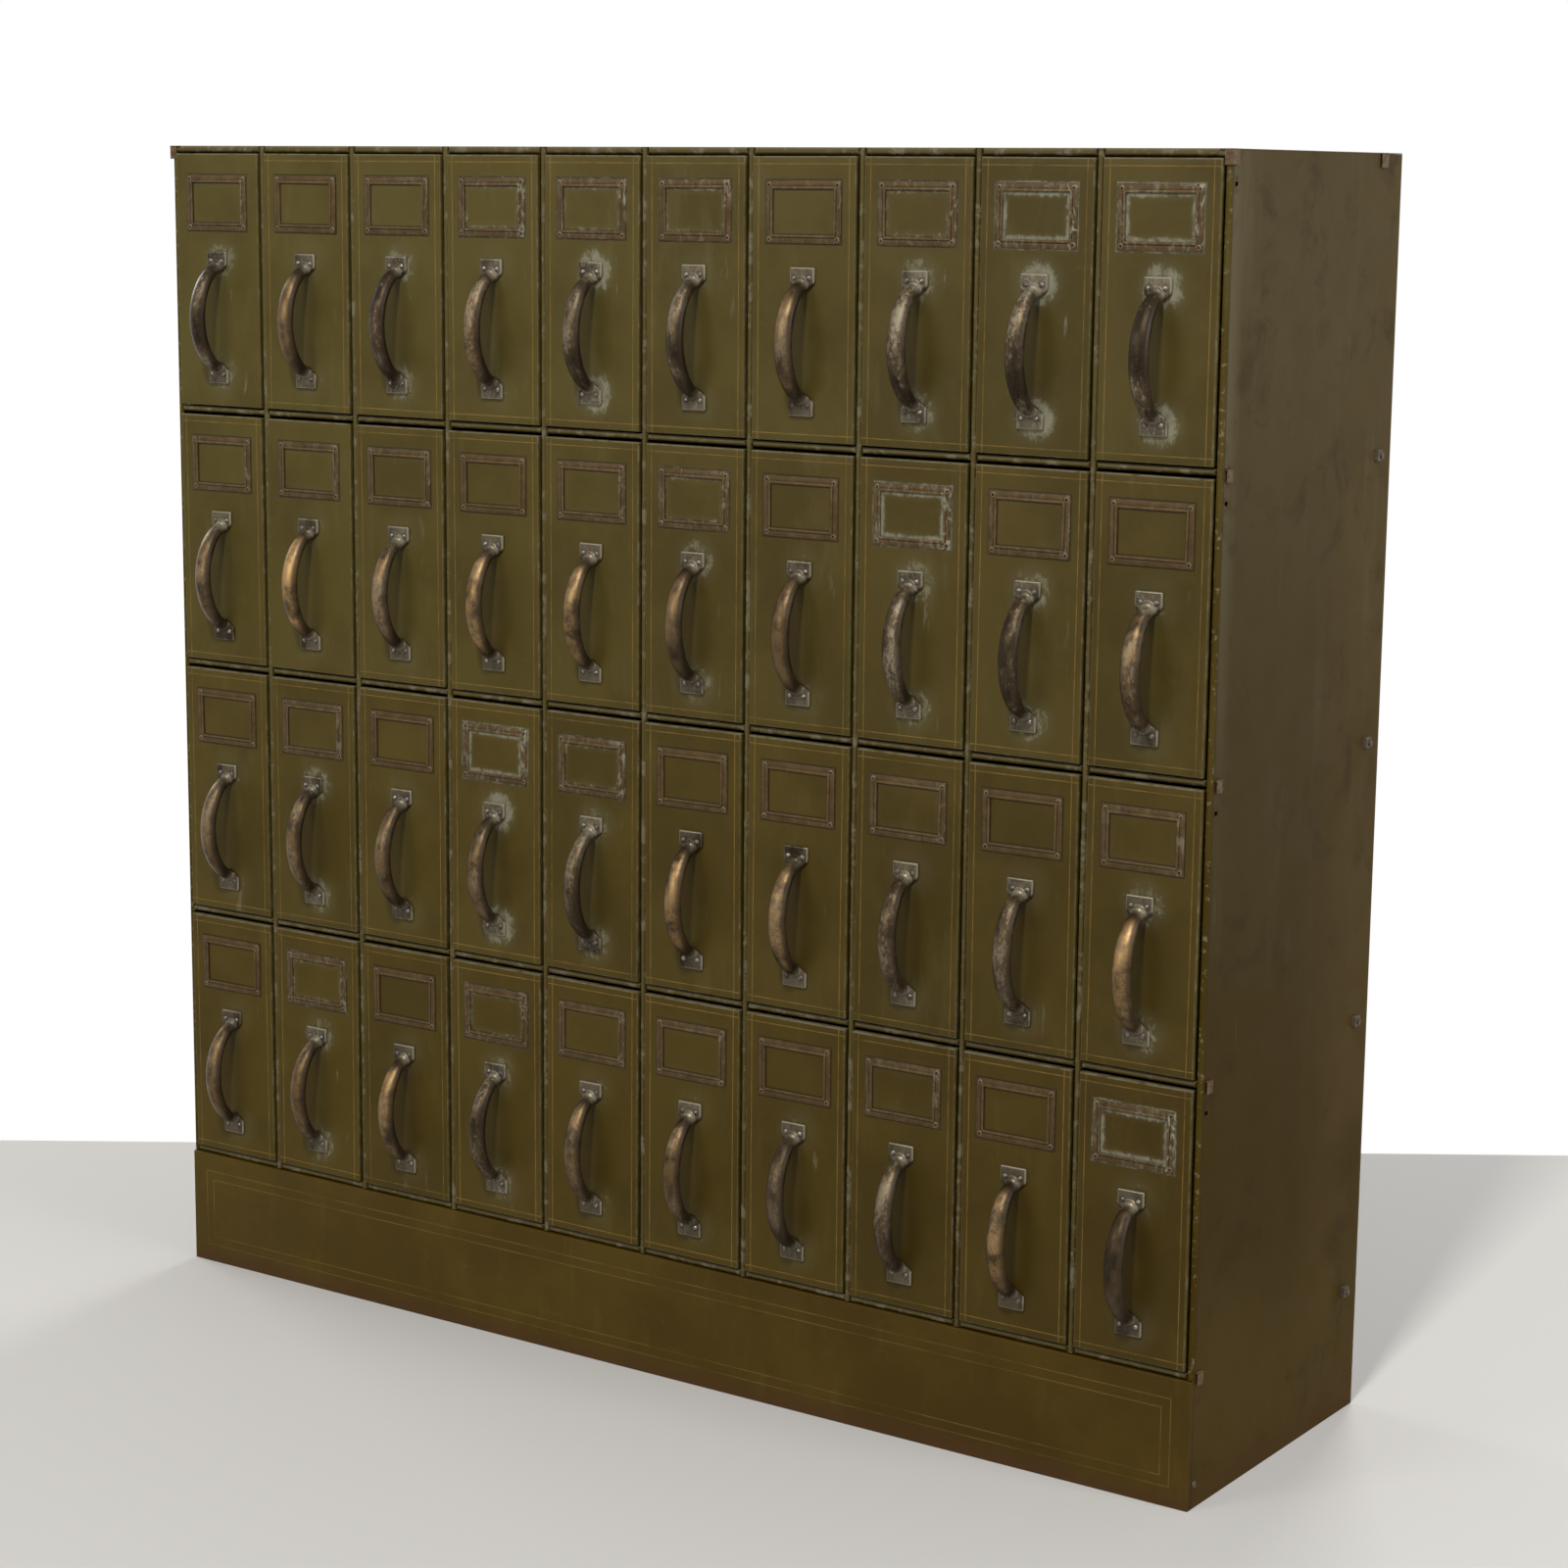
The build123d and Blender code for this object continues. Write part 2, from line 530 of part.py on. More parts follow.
def main():
    os.makedirs("parts", exist_ok=True)
    save("left_side_panel", [side_panel(LEFT)])
    save("right_side_panel", [side_panel(RIGHT)])
    save("back_panel", [back_panel()])
    save("top_panel", [top_panel()])
    save("plinth_front", [plinth_front()])
    save("plinth_screws", plinth_screws())
    save("tie_rods_and_nuts", tie_rods())
    for number in range(1, COLUMNS):
        save(f"divider_{number}", [divider(number)])
    for row in range(1, ROWS + 1):
        save(f"shelf_{row}", [shelf(row)])
    pieces = drawer_pieces()
    for row in range(1, ROWS + 1):
        for column in range(1, COLUMNS + 1):
            place = Pos(column_x(column), 0, line_z(row))
            save(f"drawer_r{row}_c{column}", [place * piece for piece in pieces])


if __name__ == "__main__":
    main()
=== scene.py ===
import random
from math import cos, pi, radians, sin

import bmesh
import bpy
from mathutils import Matrix, Vector, noise


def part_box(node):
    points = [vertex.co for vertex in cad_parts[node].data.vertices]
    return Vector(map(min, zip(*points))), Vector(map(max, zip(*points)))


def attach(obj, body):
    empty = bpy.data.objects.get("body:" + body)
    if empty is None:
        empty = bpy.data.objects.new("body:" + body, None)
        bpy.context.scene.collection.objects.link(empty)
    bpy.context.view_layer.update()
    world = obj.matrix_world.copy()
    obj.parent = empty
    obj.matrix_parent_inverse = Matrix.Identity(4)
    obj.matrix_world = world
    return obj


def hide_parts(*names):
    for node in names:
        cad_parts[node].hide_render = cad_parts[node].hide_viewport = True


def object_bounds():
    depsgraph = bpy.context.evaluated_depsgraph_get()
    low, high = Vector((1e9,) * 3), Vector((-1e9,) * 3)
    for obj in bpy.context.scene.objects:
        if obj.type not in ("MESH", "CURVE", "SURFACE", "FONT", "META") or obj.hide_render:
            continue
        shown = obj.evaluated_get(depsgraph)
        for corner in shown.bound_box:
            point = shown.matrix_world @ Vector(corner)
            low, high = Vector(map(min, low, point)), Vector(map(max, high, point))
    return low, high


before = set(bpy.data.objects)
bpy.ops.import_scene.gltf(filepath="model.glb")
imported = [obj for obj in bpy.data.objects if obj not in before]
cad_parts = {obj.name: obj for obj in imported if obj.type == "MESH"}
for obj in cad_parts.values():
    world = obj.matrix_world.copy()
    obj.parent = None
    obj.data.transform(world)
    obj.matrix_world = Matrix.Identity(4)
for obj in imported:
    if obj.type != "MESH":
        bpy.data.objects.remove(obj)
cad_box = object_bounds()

# A sheet steel document cabinet: the finish of the case, and detailed drawers on their CAD bodies.
# Metres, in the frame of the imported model: +Z up, drawers open towards -Y.

MM = 0.001
COLUMNS, ROWS = 10, 4

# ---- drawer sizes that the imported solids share, seen from the middle of the drawer's front ----
FRONT_WIDTH = 118.2 * MM
FRONT_HEIGHT = 268.8 * MM
FRONT_DEPTH = 12.0 * MM
FRONT_ROUND = 1.3 * MM
HANDLE_REACH = 39.55 * MM
SHEET = 1.0 * MM
TRAY_SHEET = 0.8 * MM
TRAY_WIDTH = 116.0 * MM
TRAY_START = 1.1 * MM
TRAY_LENGTH = 336.0 * MM
TRAY_HEIGHT = 248.0 * MM
TRAY_LIFT = 1.1 * MM
HEM = 4.0 * MM
HEM_FOLD = 2.4
FRONT_GRID = 22, 48
STIFF_EDGE = 18.0 * MM
UNEVENNESS = 0.4 * MM
GLIDE_WIDTH = 10.0 * MM
GLIDE_INSET = 8.0 * MM
GLIDE_DEPTH = 2.7 * MM
TILT = 0.22

# ---- label holder ----
HOLDER_WIDTH = 86.0 * MM
HOLDER_HEIGHT = 59.0 * MM
HOLDER_DROP = 22.5 * MM
HOLDER_STRIP = 8.2 * MM
HOLDER_PROUD = 1.85 * MM
PIN_INSET = 4.1 * MM
PIN_RADIUS = 1.5 * MM
PIN_COLLAR = 2.5 * MM
PIN_HEAD = 0.9 * MM

# ---- handle, seen from the middle of its height on the drawer's front ----
HANDLE_HEIGHT = 141.0 * MM
HANDLE_DROP = 103.5 * MM
BOW_STANDOFF = 33.0 * MM
BOW_HALF = 53.5 * MM
BOW_FLATNESS = 1.2
BOW_MIDDLE = 19.5 * MM, 13.0 * MM
BOW_END = 12.0 * MM, 11.0 * MM
FOOT_THICKNESS = 3.2 * MM
FOOT_RIGHT = [(13.4, 0.0), (14.0, 0.6), (14.0, 13.6), (12.6, 16.2), (9.2, 18.6), (6.2, 21.6)]
FOOT_OUTLINE = [(-13.4, 0.0)] + FOOT_RIGHT + [(-x, z) for x, z in FOOT_RIGHT[:0:-1]]
FOOT_LAYERS = (0.0, 0.1), (0.0, 2.0), (0.5, 2.9), (1.4, 3.2)
FOOT_CENTRE = 9.0
KNUCKLE = 7.6 * MM, 5.2 * MM, 7.2 * MM
BOW_STEPS, BOW_SIDES = 44, 22
BOW_FLARE = 2.6 * MM
SKIN_VOXEL = 0.7 * MM
SCREW_SPACING = 16.5 * MM
SCREW_MARGIN = 10.0 * MM
SCREW_RADIUS = 2.8 * MM
SCREW_HEAD = 1.9 * MM
HANDLE_TILT = 0.5

# ---- painted lines ----
LINE_INSET = 7.2 * MM
LINE_WIDTH = 0.95 * MM
PLINTH_LINES = 20.0 * MM, 30.0 * MM

# How worn each drawer is, from 0 to 3, row by row as the photograph shows it.
FEET_WEAR = "2121310233", "0110021221", "1213200112", "1212111001"
LABEL_WEAR = "1012221233", "1110120310", "0103200101", "0202110103"
GILT_WEAR = "0101001000", "1312211001", "1111022002", "1120110020"
PALE_WEAR = "3123221333", "2021100332", "1222201220", "1213121210"
UNLINED = (1, 1), (2, 2)

# ---- colours, linear ----
OLIVE = 0.066, 0.047, 0.0085
OLIVE_DARK = 0.050, 0.034, 0.005
OLIVE_LIGHT = 0.088, 0.069, 0.022
# Case colours from top to floor; the change between them is partly painted light.
SIDE_TOP = 0.072, 0.054, 0.024
SIDE_MIDDLE = 0.049, 0.034, 0.011
SIDE_LOW = 0.044, 0.027, 0.005
SIDE_FLOOR = 0.066, 0.041, 0.009
# Light warm brown for stains, also used for a painted rim light along the case's rear edge and painted
# highlights on the label holders' edges.
STAIN_AND_HIGHLIGHT = 0.096, 0.060, 0.019
RUST = 0.06, 0.026, 0.009
# Painted light: tints that make the enamel lighter at the upper left and top, darker and browner at the
# lower right and bottom.
PAINTED_LIGHT_LEFT = 1.07, 1.07, 0.95
PAINTED_LIGHT_RIGHT = 0.90, 0.85, 0.74
PAINTED_LIGHT_LOW = 0.92, 0.86, 0.60
PAINTED_LIGHT_HIGH = 1.12, 1.21, 1.66
PLINTH_SHADE = 1.12, 1.04, 0.78
GILT = 0.22, 0.135, 0.032
CHALK = 0.27, 0.265, 0.19
# Pale dust colour, also used for painted highlights on the rails' upward faces and along the drawers' top
# edges.
DUST_AND_HIGHLIGHT = 0.17, 0.145, 0.095
# Dark brown for real soiling, and for painted shade in creases, grooves and on faces turned from the light.
GRIME_AND_SHADE = 0.022, 0.014, 0.006
BRONZE = 0.098, 0.064, 0.032
BRONZE_DARK = 0.022, 0.014, 0.006
BRONZE_PALE = 0.26, 0.23, 0.16
BRONZE_GOLD = 0.44, 0.27, 0.11
COPPER = 0.066, 0.040, 0.015
COPPER_PALE = 0.13, 0.085, 0.036
TAB_BROWN = 0.13, 0.09, 0.048
STEEL = 0.26, 0.23, 0.19
STEEL_DARK = 0.05, 0.038, 0.028
NUT = 0.115, 0.085, 0.05
BLACK = 0.012, 0.009, 0.006

# ---- camera: solved from the photograph ----
CAMERA_PLACE = 2.00346, -2.80947, 1.21737
CAMERA_YAW, CAMERA_PITCH, CAMERA_ROLL = radians(34.598), radians(-10.168), radians(0.558)
CAMERA_LENS, CAMERA_SENSOR = 76.957, 36.0

# ---- stage: a floor that ends where the photograph's wall begins, and lamps ----
FLOOR_SIZE, FLOOR_END = 12.0, 4.146
FLOOR_COLOUR = 0.52, 0.505, 0.48
FLOOR_ROUGHNESS, FLOOR_SPECULAR = 0.7, 0.2
WORLD_LIGHT, WORLD_SEEN = 0.25, 1.0
LAMPS = [("key", (1.4, -4.15, 5.7), (0.0, 0.0, 0.6), 0.6, 300.0),
         ("fill", (-1.2, -3.6, 2.2), (0.0, 0.0, 0.7), 1.4, 38.0),
         ("side", (3.6, -0.3, 2.2), (0.6, 0.0, 0.6), 1.4, 64.0),
         ("left", (-3.6, 0.6, 2.2), (-0.6, 0.0, 0.6), 1.4, 40.0),
         ("back", (-1.0, 4.4, 2.6), (0.0, 0.2, 0.6), 1.6, 110.0)]


# ---- material graphs ----
class Graph:
    """One material's nodes, with the object's own coordinates as its place."""

    def __init__(self, name, specular=0.12):
        self.material = bpy.data.materials.new(name)
        self.material.use_nodes = True
        self.nodes = self.material.node_tree.nodes
        self.links = self.material.node_tree.links
        self.shader = self.nodes["Principled BSDF"]
        self.shader.inputs["Specular IOR Level"].default_value = specular
        self.place = self.add("ShaderNodeTexCoord").outputs["Object"]
        self.random = self.add("ShaderNodeObjectInfo").outputs["Random"]
        x, y, z = self.add("ShaderNodeSeparateXYZ", self.place).outputs
        self.x, self.y, self.z = x, y, z

    def add(self, kind, *inputs, **settings):
        """A node with its first inputs linked or set in order."""
        node = self.nodes.new(kind)
        for name, value in settings.items():
            setattr(node, name, value)
        for socket, value in zip(node.inputs, inputs):
            self.feed(socket, value)
        return node

    def feed(self, socket, value):
        """Links an output to a socket, or sets the socket's own value."""
        if isinstance(value, bpy.types.NodeSocket):
            self.links.new(value, socket)
        elif value is not None:
            socket.default_value = (*value, 1.0) if socket.type == "RGBA" else value

    def maths(self, operation, *values):
        return self.add("ShaderNodeMath", *values, operation=operation).outputs[0]

    def times(self, *values):
        """The product of several numbers."""
        product = values[0]
        for value in values[1:]:
            product = self.maths("MULTIPLY", product, value)
        return product

    def most(self, *values):
        """The largest of several masks."""
        top = values[0]
        for value in values[1:]:
            top = self.maths("MAXIMUM", top, value)
        return top

    def noise(self, scale, detail=4.0, roughness=0.6, stretch=(1, 1, 1), seed=0.0, swirl=0.0):
        """Noise from 0 to 1 with its own pattern on every object. scale is features per metre."""
        place = self.add("ShaderNodeMapping", self.place)
        place.inputs["Scale"].default_value = stretch
        shift = self.maths("MULTIPLY_ADD", self.random, 71.0, seed)
        node = self.add("ShaderNodeTexNoise", noise_dimensions="4D")
        self.feed(node.inputs["Vector"], place.outputs[0])
        self.feed(node.inputs["W"], shift)
        self.feed(node.inputs["Scale"], scale)
        self.feed(node.inputs["Detail"], detail)
        self.feed(node.inputs["Roughness"], roughness)
        self.feed(node.inputs["Distortion"], swirl)
        return node.outputs[0]

    def band(self, value, low, high):
        """0 at low, 1 at high, smooth between. low may be above high."""
        node = self.add("ShaderNodeMapRange", interpolation_type="SMOOTHSTEP")
        self.feed(node.inputs["Value"], value)
        self.feed(node.inputs["From Min"], low)
        self.feed(node.inputs["From Max"], high)
        return node.outputs[0]

    def mix(self, factor, first, second):
        """A colour between two."""
        node = self.add("ShaderNodeMix", data_type="RGBA")
        self.feed(node.inputs["Factor"], factor)
        self.feed(node.inputs[6], first)
        self.feed(node.inputs[7], second)
        return node.outputs[2]

    def tint(self, colour, by):
        """The product of two colours."""
        node = self.add("ShaderNodeMix", data_type="RGBA", blend_type="MULTIPLY")
        self.feed(node.inputs["Factor"], 1.0)
        self.feed(node.inputs[6], colour)
        self.feed(node.inputs[7], by)
        return node.outputs[2]

    def own(self, name):
        """A number that each object carries."""
        return self.add("ShaderNodeAttribute", attribute_type="OBJECT", attribute_name=name).outputs["Fac"]

    def away(self, value, at):
        """How far a number is from another."""
        return self.maths("ABSOLUTE", self.maths("SUBTRACT", value, at))

    def box_distance(self, half_x, half_z, middle_z, middle_x=0.0):
        """How far a point of the front is outside a box. Inside it is negative."""
        x = self.maths("SUBTRACT", self.away(self.x, middle_x), half_x)
        z = self.maths("SUBTRACT", self.away(self.z, middle_z), half_z)
        return self.maths("MAXIMUM", x, z)

    def line(self, value, at):
        """1 on a painted line where value is at, and 0 away from it."""
        return self.band(self.away(value, at), LINE_WIDTH * 0.62, LINE_WIDTH * 0.4)

    def finish(self, colour, roughness, height, strength, distance, metallic=0.0):
        """Wires the shader up and returns the material."""
        bump = self.add("ShaderNodeBump")
        self.feed(bump.inputs["Height"], height)
        bump.inputs["Strength"].default_value = strength
        bump.inputs["Distance"].default_value = distance
        self.feed(self.shader.inputs["Base Color"], colour)
        self.feed(self.shader.inputs["Roughness"], roughness)
        self.feed(self.shader.inputs["Normal"], bump.outputs[0])
        self.feed(self.shader.inputs["Metallic"], metallic)
        return self.material


def aged_paint(g, base, dark, light):
    """Old enamel: cloudy, with fine mottling, hair scratches and a few pale specks."""
    clouds = g.noise(9.0, detail=5.0, seed=1.0)
    clouds = g.maths("ADD", clouds, g.maths("MULTIPLY_ADD", g.random, 0.16, -0.08))
    colour = g.mix(g.band(clouds, 0.34, 0.66), dark, base)
    rubs = g.noise(40.0, detail=8.0, roughness=0.72, seed=2.0, swirl=0.8)
    colour = g.mix(g.times(g.band(rubs, 0.55, 0.75), 0.3), colour, light)
    hairs = g.noise(260.0, detail=2.0, stretch=(1.0, 1.0, 0.05), seed=12.0)
    colour = g.mix(g.times(g.band(hairs, 0.66, 0.76), g.band(rubs, 0.42, 0.6), 0.6), colour, light)
    smears = g.noise(30.0, detail=6.0, roughness=0.65, stretch=(1.0, 1.0, 0.25), seed=14.0, swirl=0.3)
    colour = g.mix(g.times(g.band(smears, 0.54, 0.72), 0.4), colour, light)
    specks = g.noise(420.0, detail=3.0, seed=3.0)
    return g.mix(g.times(g.band(specks, 0.68, 0.76), 0.55), colour, DUST_AND_HIGHLIGHT)


def shade(g, colour, x, z):
    """Painted light: the enamel is lighter and greener at the upper left of the cabinet, browner and darker
    at the lower right, as light falls across it.
    """
    colour = g.tint(colour, g.mix(g.band(x, -0.7, 0.7), PAINTED_LIGHT_LEFT, PAINTED_LIGHT_RIGHT))
    return g.tint(colour, g.mix(g.band(z, 0.1, 1.25), PAINTED_LIGHT_LOW, PAINTED_LIGHT_HIGH))


def paint_roughness(g):
    """Satin, duller in clouds."""
    dull = g.noise(26.0, detail=6.0, roughness=0.65, seed=4.0)
    return g.maths("MULTIPLY_ADD", g.band(dull, 0.3, 0.75), 0.16, 0.4)


def near_feet(g, reach, shift_x, shift_z):
    """1 beside the handle's feet, falling to 0 some way off."""
    masks = []
    for end in (-1, 1):
        foot = Vector((shift_x, 0, HANDLE_MIDDLE + end * (HANDLE_HEIGHT / 2 - 10 * MM) + shift_z))
        away = g.add("ShaderNodeVectorMath", g.place, foot, operation="DISTANCE").outputs["Value"]
        masks.append(g.band(away, reach, 12 * MM))
    return g.most(*masks)


def drawer_paint():
    """A drawer's front: olive enamel, gilt lines along the edges, chalky polish near the fittings; painted
    light across the cabinet, a painted shadow round the label holder, and a top edge that is partly a
    painted highlight.
    """
    g = Graph("drawer_paint")
    colour = aged_paint(g, OLIVE, OLIVE_DARK, OLIVE_LIGHT)
    spot = g.add("ShaderNodeSeparateXYZ", g.add("ShaderNodeObjectInfo").outputs["Location"]).outputs
    # Painted light falloff across the cabinet, by where the drawer stands.
    colour = shade(g, colour, spot[0], spot[2])
    edge = g.box_distance(FRONT_WIDTH / 2, FRONT_HEIGHT / 2, 0.0)
    holder = g.box_distance(HOLDER_WIDTH / 2, HOLDER_HEIGHT / 2, HOLDER_MIDDLE)
    # Painted shadow: a dark band round the label holder's outline.
    holder_shadow = g.times(g.band(holder, 2.4 * MM, 0.2 * MM), g.band(holder, -10 * MM, -8.5 * MM), 0.8)
    colour = g.mix(holder_shadow, colour, GRIME_AND_SHADE)
    up = g.maths("ABSOLUTE", g.z)
    across = g.maths("ABSOLUTE", g.x)
    lines = g.most(g.line(across, FRONT_WIDTH / 2 - LINE_INSET), g.line(up, FRONT_HEIGHT / 2 - LINE_INSET))
    faded = g.band(g.noise(60.0, detail=5.0, seed=5.0), 0.36, 0.62)
    fresh = g.maths("MULTIPLY_ADD", g.random, 0.25, 0.12)
    lines = g.times(lines, g.maths("MULTIPLY_ADD", faded, 0.4, fresh), g.own("lined"))
    colour = g.mix(lines, colour, GILT)

    wisps = g.noise(95.0, detail=10.0, roughness=0.78, stretch=(1.0, 1.0, 0.7), seed=6.0, swirl=0.8)
    haze = g.times(near_feet(g, 34 * MM, 4 * MM, 1 * MM), g.maths("POWER", g.own("feet_wear"), 0.7))
    streaks = g.noise(85.0, detail=5.0, stretch=(1.0, 1.0, 0.16), seed=13.0, swirl=0.4)
    runs = g.times(near_feet(g, 46 * MM, 22 * MM, -14 * MM), g.own("feet_wear"), g.band(streaks, 0.62, 0.7))
    inside = g.box_distance(HOLDER_WIDTH / 2 - HOLDER_STRIP, HOLDER_HEIGHT / 2 - HOLDER_STRIP,
                            HOLDER_MIDDLE)
    rim = g.times(g.band(inside, -9 * MM, -0.5 * MM), g.band(inside, 12 * MM, 8 * MM), g.own("label_wear"))
    grown = g.maths("ADD", g.most(haze, rim), g.maths("MULTIPLY_ADD", wisps, 2.6, -1.3))
    chalk = g.times(g.band(grown, 0.5, 1.15), g.band(g.most(haze, rim), 0.05, 0.3))
    chalk = g.most(chalk, g.times(haze, 0.14), g.times(rim, 0.1), g.times(runs, 0.9))
    colour = g.mix(g.times(chalk, 0.6), colour, CHALK)

    chips = g.noise(150.0, detail=6.0, roughness=0.7, stretch=(0.5, 1.0, 0.5), seed=7.0)
    rubbed = g.times(g.band(edge, -2.2 * MM, -0.6 * MM), g.band(chips, 0.3, 0.5), 0.6)
    colour = g.mix(rubbed, colour, OLIVE_LIGHT)
    worn = g.times(g.band(edge, -1.8 * MM, -0.4 * MM), g.band(chips, 0.5, 0.66))
    # A lighter line along the top edge: wear, and a painted highlight.
    top_edge_wear_and_highlight = g.times(g.band(g.z, FRONT_HEIGHT / 2 - 1.6 * MM, FRONT_HEIGHT / 2 - 0.7 * MM),
                       g.band(chips, 0.36, 0.56))
    colour = g.mix(g.times(g.most(worn, top_edge_wear_and_highlight), 0.6), colour, DUST_AND_HIGHLIGHT)
    roughness = g.maths("MULTIPLY_ADD", chalk, 0.3, paint_roughness(g))
    height = g.maths("MULTIPLY_ADD", chalk, 0.6, g.noise(240.0, detail=5.0, seed=8.0))
    return g.finish(colour, roughness, height, 0.14, 0.4 * MM)


def case_paint():
    """The case: olive enamel that goes from grey green at the top to brown at the floor, with streaks. The
    lighter, greyer top and the warm brown lower down are partly painted light, and a lighter warm band
    along the rear edge is a painted rim light.
    """
    g = Graph("case_paint", specular=0.02)
    drift = g.noise(2.4, detail=6.0, roughness=0.6, seed=1.0)
    # Partly painted light: lighter and greyer at the top, warmer and browner lower down, as light falls on
    # the sides.
    level = g.maths("MULTIPLY_ADD", drift, 0.5, g.z)
    colour = g.mix(g.band(level, 1.45, 0.9), SIDE_TOP, SIDE_MIDDLE)
    colour = g.mix(g.band(level, 0.95, 0.5), colour, SIDE_LOW)
    colour = g.mix(g.times(g.band(level, 0.55, 0.3), 0.8), colour, SIDE_FLOOR)
    stain = g.times(g.band(g.y, BACK_LINE - 170 * MM, BACK_LINE - 40 * MM), g.band(drift, 0.4, 0.6))
    colour = g.mix(g.times(stain, 0.4), colour, STAIN_AND_HIGHLIGHT)
    front_dust = g.times(g.band(g.y, FRONT_LINE + 34 * MM, FRONT_LINE + 9 * MM), g.band(g.z, 0.5, 1.1))
    colour = g.mix(g.times(front_dust, 0.3), colour, DUST_AND_HIGHLIGHT)
    clouds = g.noise(13.0, detail=8.0, roughness=0.7, seed=2.0, swirl=0.6)
    colour = g.mix(g.times(g.band(clouds, 0.5, 0.32), 0.45), colour, GRIME_AND_SHADE)
    streaks = g.noise(22.0, detail=7.0, roughness=0.68, stretch=(1.0, 1.0, 0.1), seed=3.0)
    colour = g.mix(g.times(g.band(streaks, 0.52, 0.75), g.band(g.z, 0.1, 1.1), 0.2), colour, DUST_AND_HIGHLIGHT)
    hairs = g.noise(230.0, detail=2.0, stretch=(1.0, 1.0, 0.03), seed=12.0)
    colour = g.mix(g.times(g.band(hairs, 0.7, 0.78), g.band(clouds, 0.45, 0.6), 0.4), colour, DUST_AND_HIGHLIGHT)
    specks = g.noise(210.0, detail=6.0, roughness=0.7, seed=4.0)
    colour = g.mix(g.times(g.band(specks, 0.66, 0.78), 0.4), colour, DUST_AND_HIGHLIGHT)
    colour = g.mix(g.times(punched_edges(g), 0.75), colour, RUST)
    foot = g.band(g.maths("MULTIPLY_ADD", clouds, 0.09, g.z), 0.1, 0.035)
    colour = g.mix(g.times(foot, 0.55), colour, RUST)
    bead = g.times(g.band(g.y, FRONT_LINE + 4.4 * MM, FRONT_LINE + 3.6 * MM), g.band(g.z, 0.127, 0.13))
    # The front bead carries the drawers' enamel with its painted light falloff.
    colour = g.mix(bead, colour, shade(g, aged_paint(g, OLIVE, OLIVE_DARK, OLIVE_LIGHT), g.x, g.z))
    seam = g.band(g.away(g.y, FRONT_LINE + 5.0 * MM), 1.4 * MM, 0.5 * MM)
    colour = g.mix(g.times(seam, 0.6), colour, GRIME_AND_SHADE)
    flecks = g.times(g.band(g.noise(170.0, detail=5.0, seed=6.0), 0.56, 0.66), bead)
    colour = g.mix(g.times(flecks, 0.7), colour, DUST_AND_HIGHLIGHT)
    # Painted rim light: a lighter warm band along the rear edge.
    rear = g.band(g.y, BACK_LINE - 5 * MM, BACK_LINE - 1.5 * MM)
    colour = g.mix(g.times(rear, 0.5), colour, STAIN_AND_HIGHLIGHT)
    return g.finish(colour, paint_roughness(g), g.noise(90.0, detail=6.0, seed=5.0), 0.12, 0.5 * MM)


def punched_edges(g):
    """Rust beside the holes along the sides' front edge and round the nuts at the rear."""
    rusted = g.noise(120.0, detail=6.0, roughness=0.7, seed=9.0)
    masks = []
    for row in range(ROWS + 1):
        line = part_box(f"shelf_{row}")[1][2] if row else cad_box[1][2]
        for y, z, reach in ((11 * MM, line - 6 * MM, 14 * MM), (11 * MM, line - 31 * MM, 11 * MM)):
            spot = Vector((cad_side(), FRONT_LINE + y, z))
            away = g.add("ShaderNodeVectorMath", g.place, spot, operation="DISTANCE").outputs["Value"]
            masks.append(g.band(away, reach, reach * 0.45))
    return g.times(g.most(*masks), g.band(rusted, 0.42, 0.6))


def cad_side():
    """The outside of the right side panel."""
    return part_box("right_side_panel")[1][0]


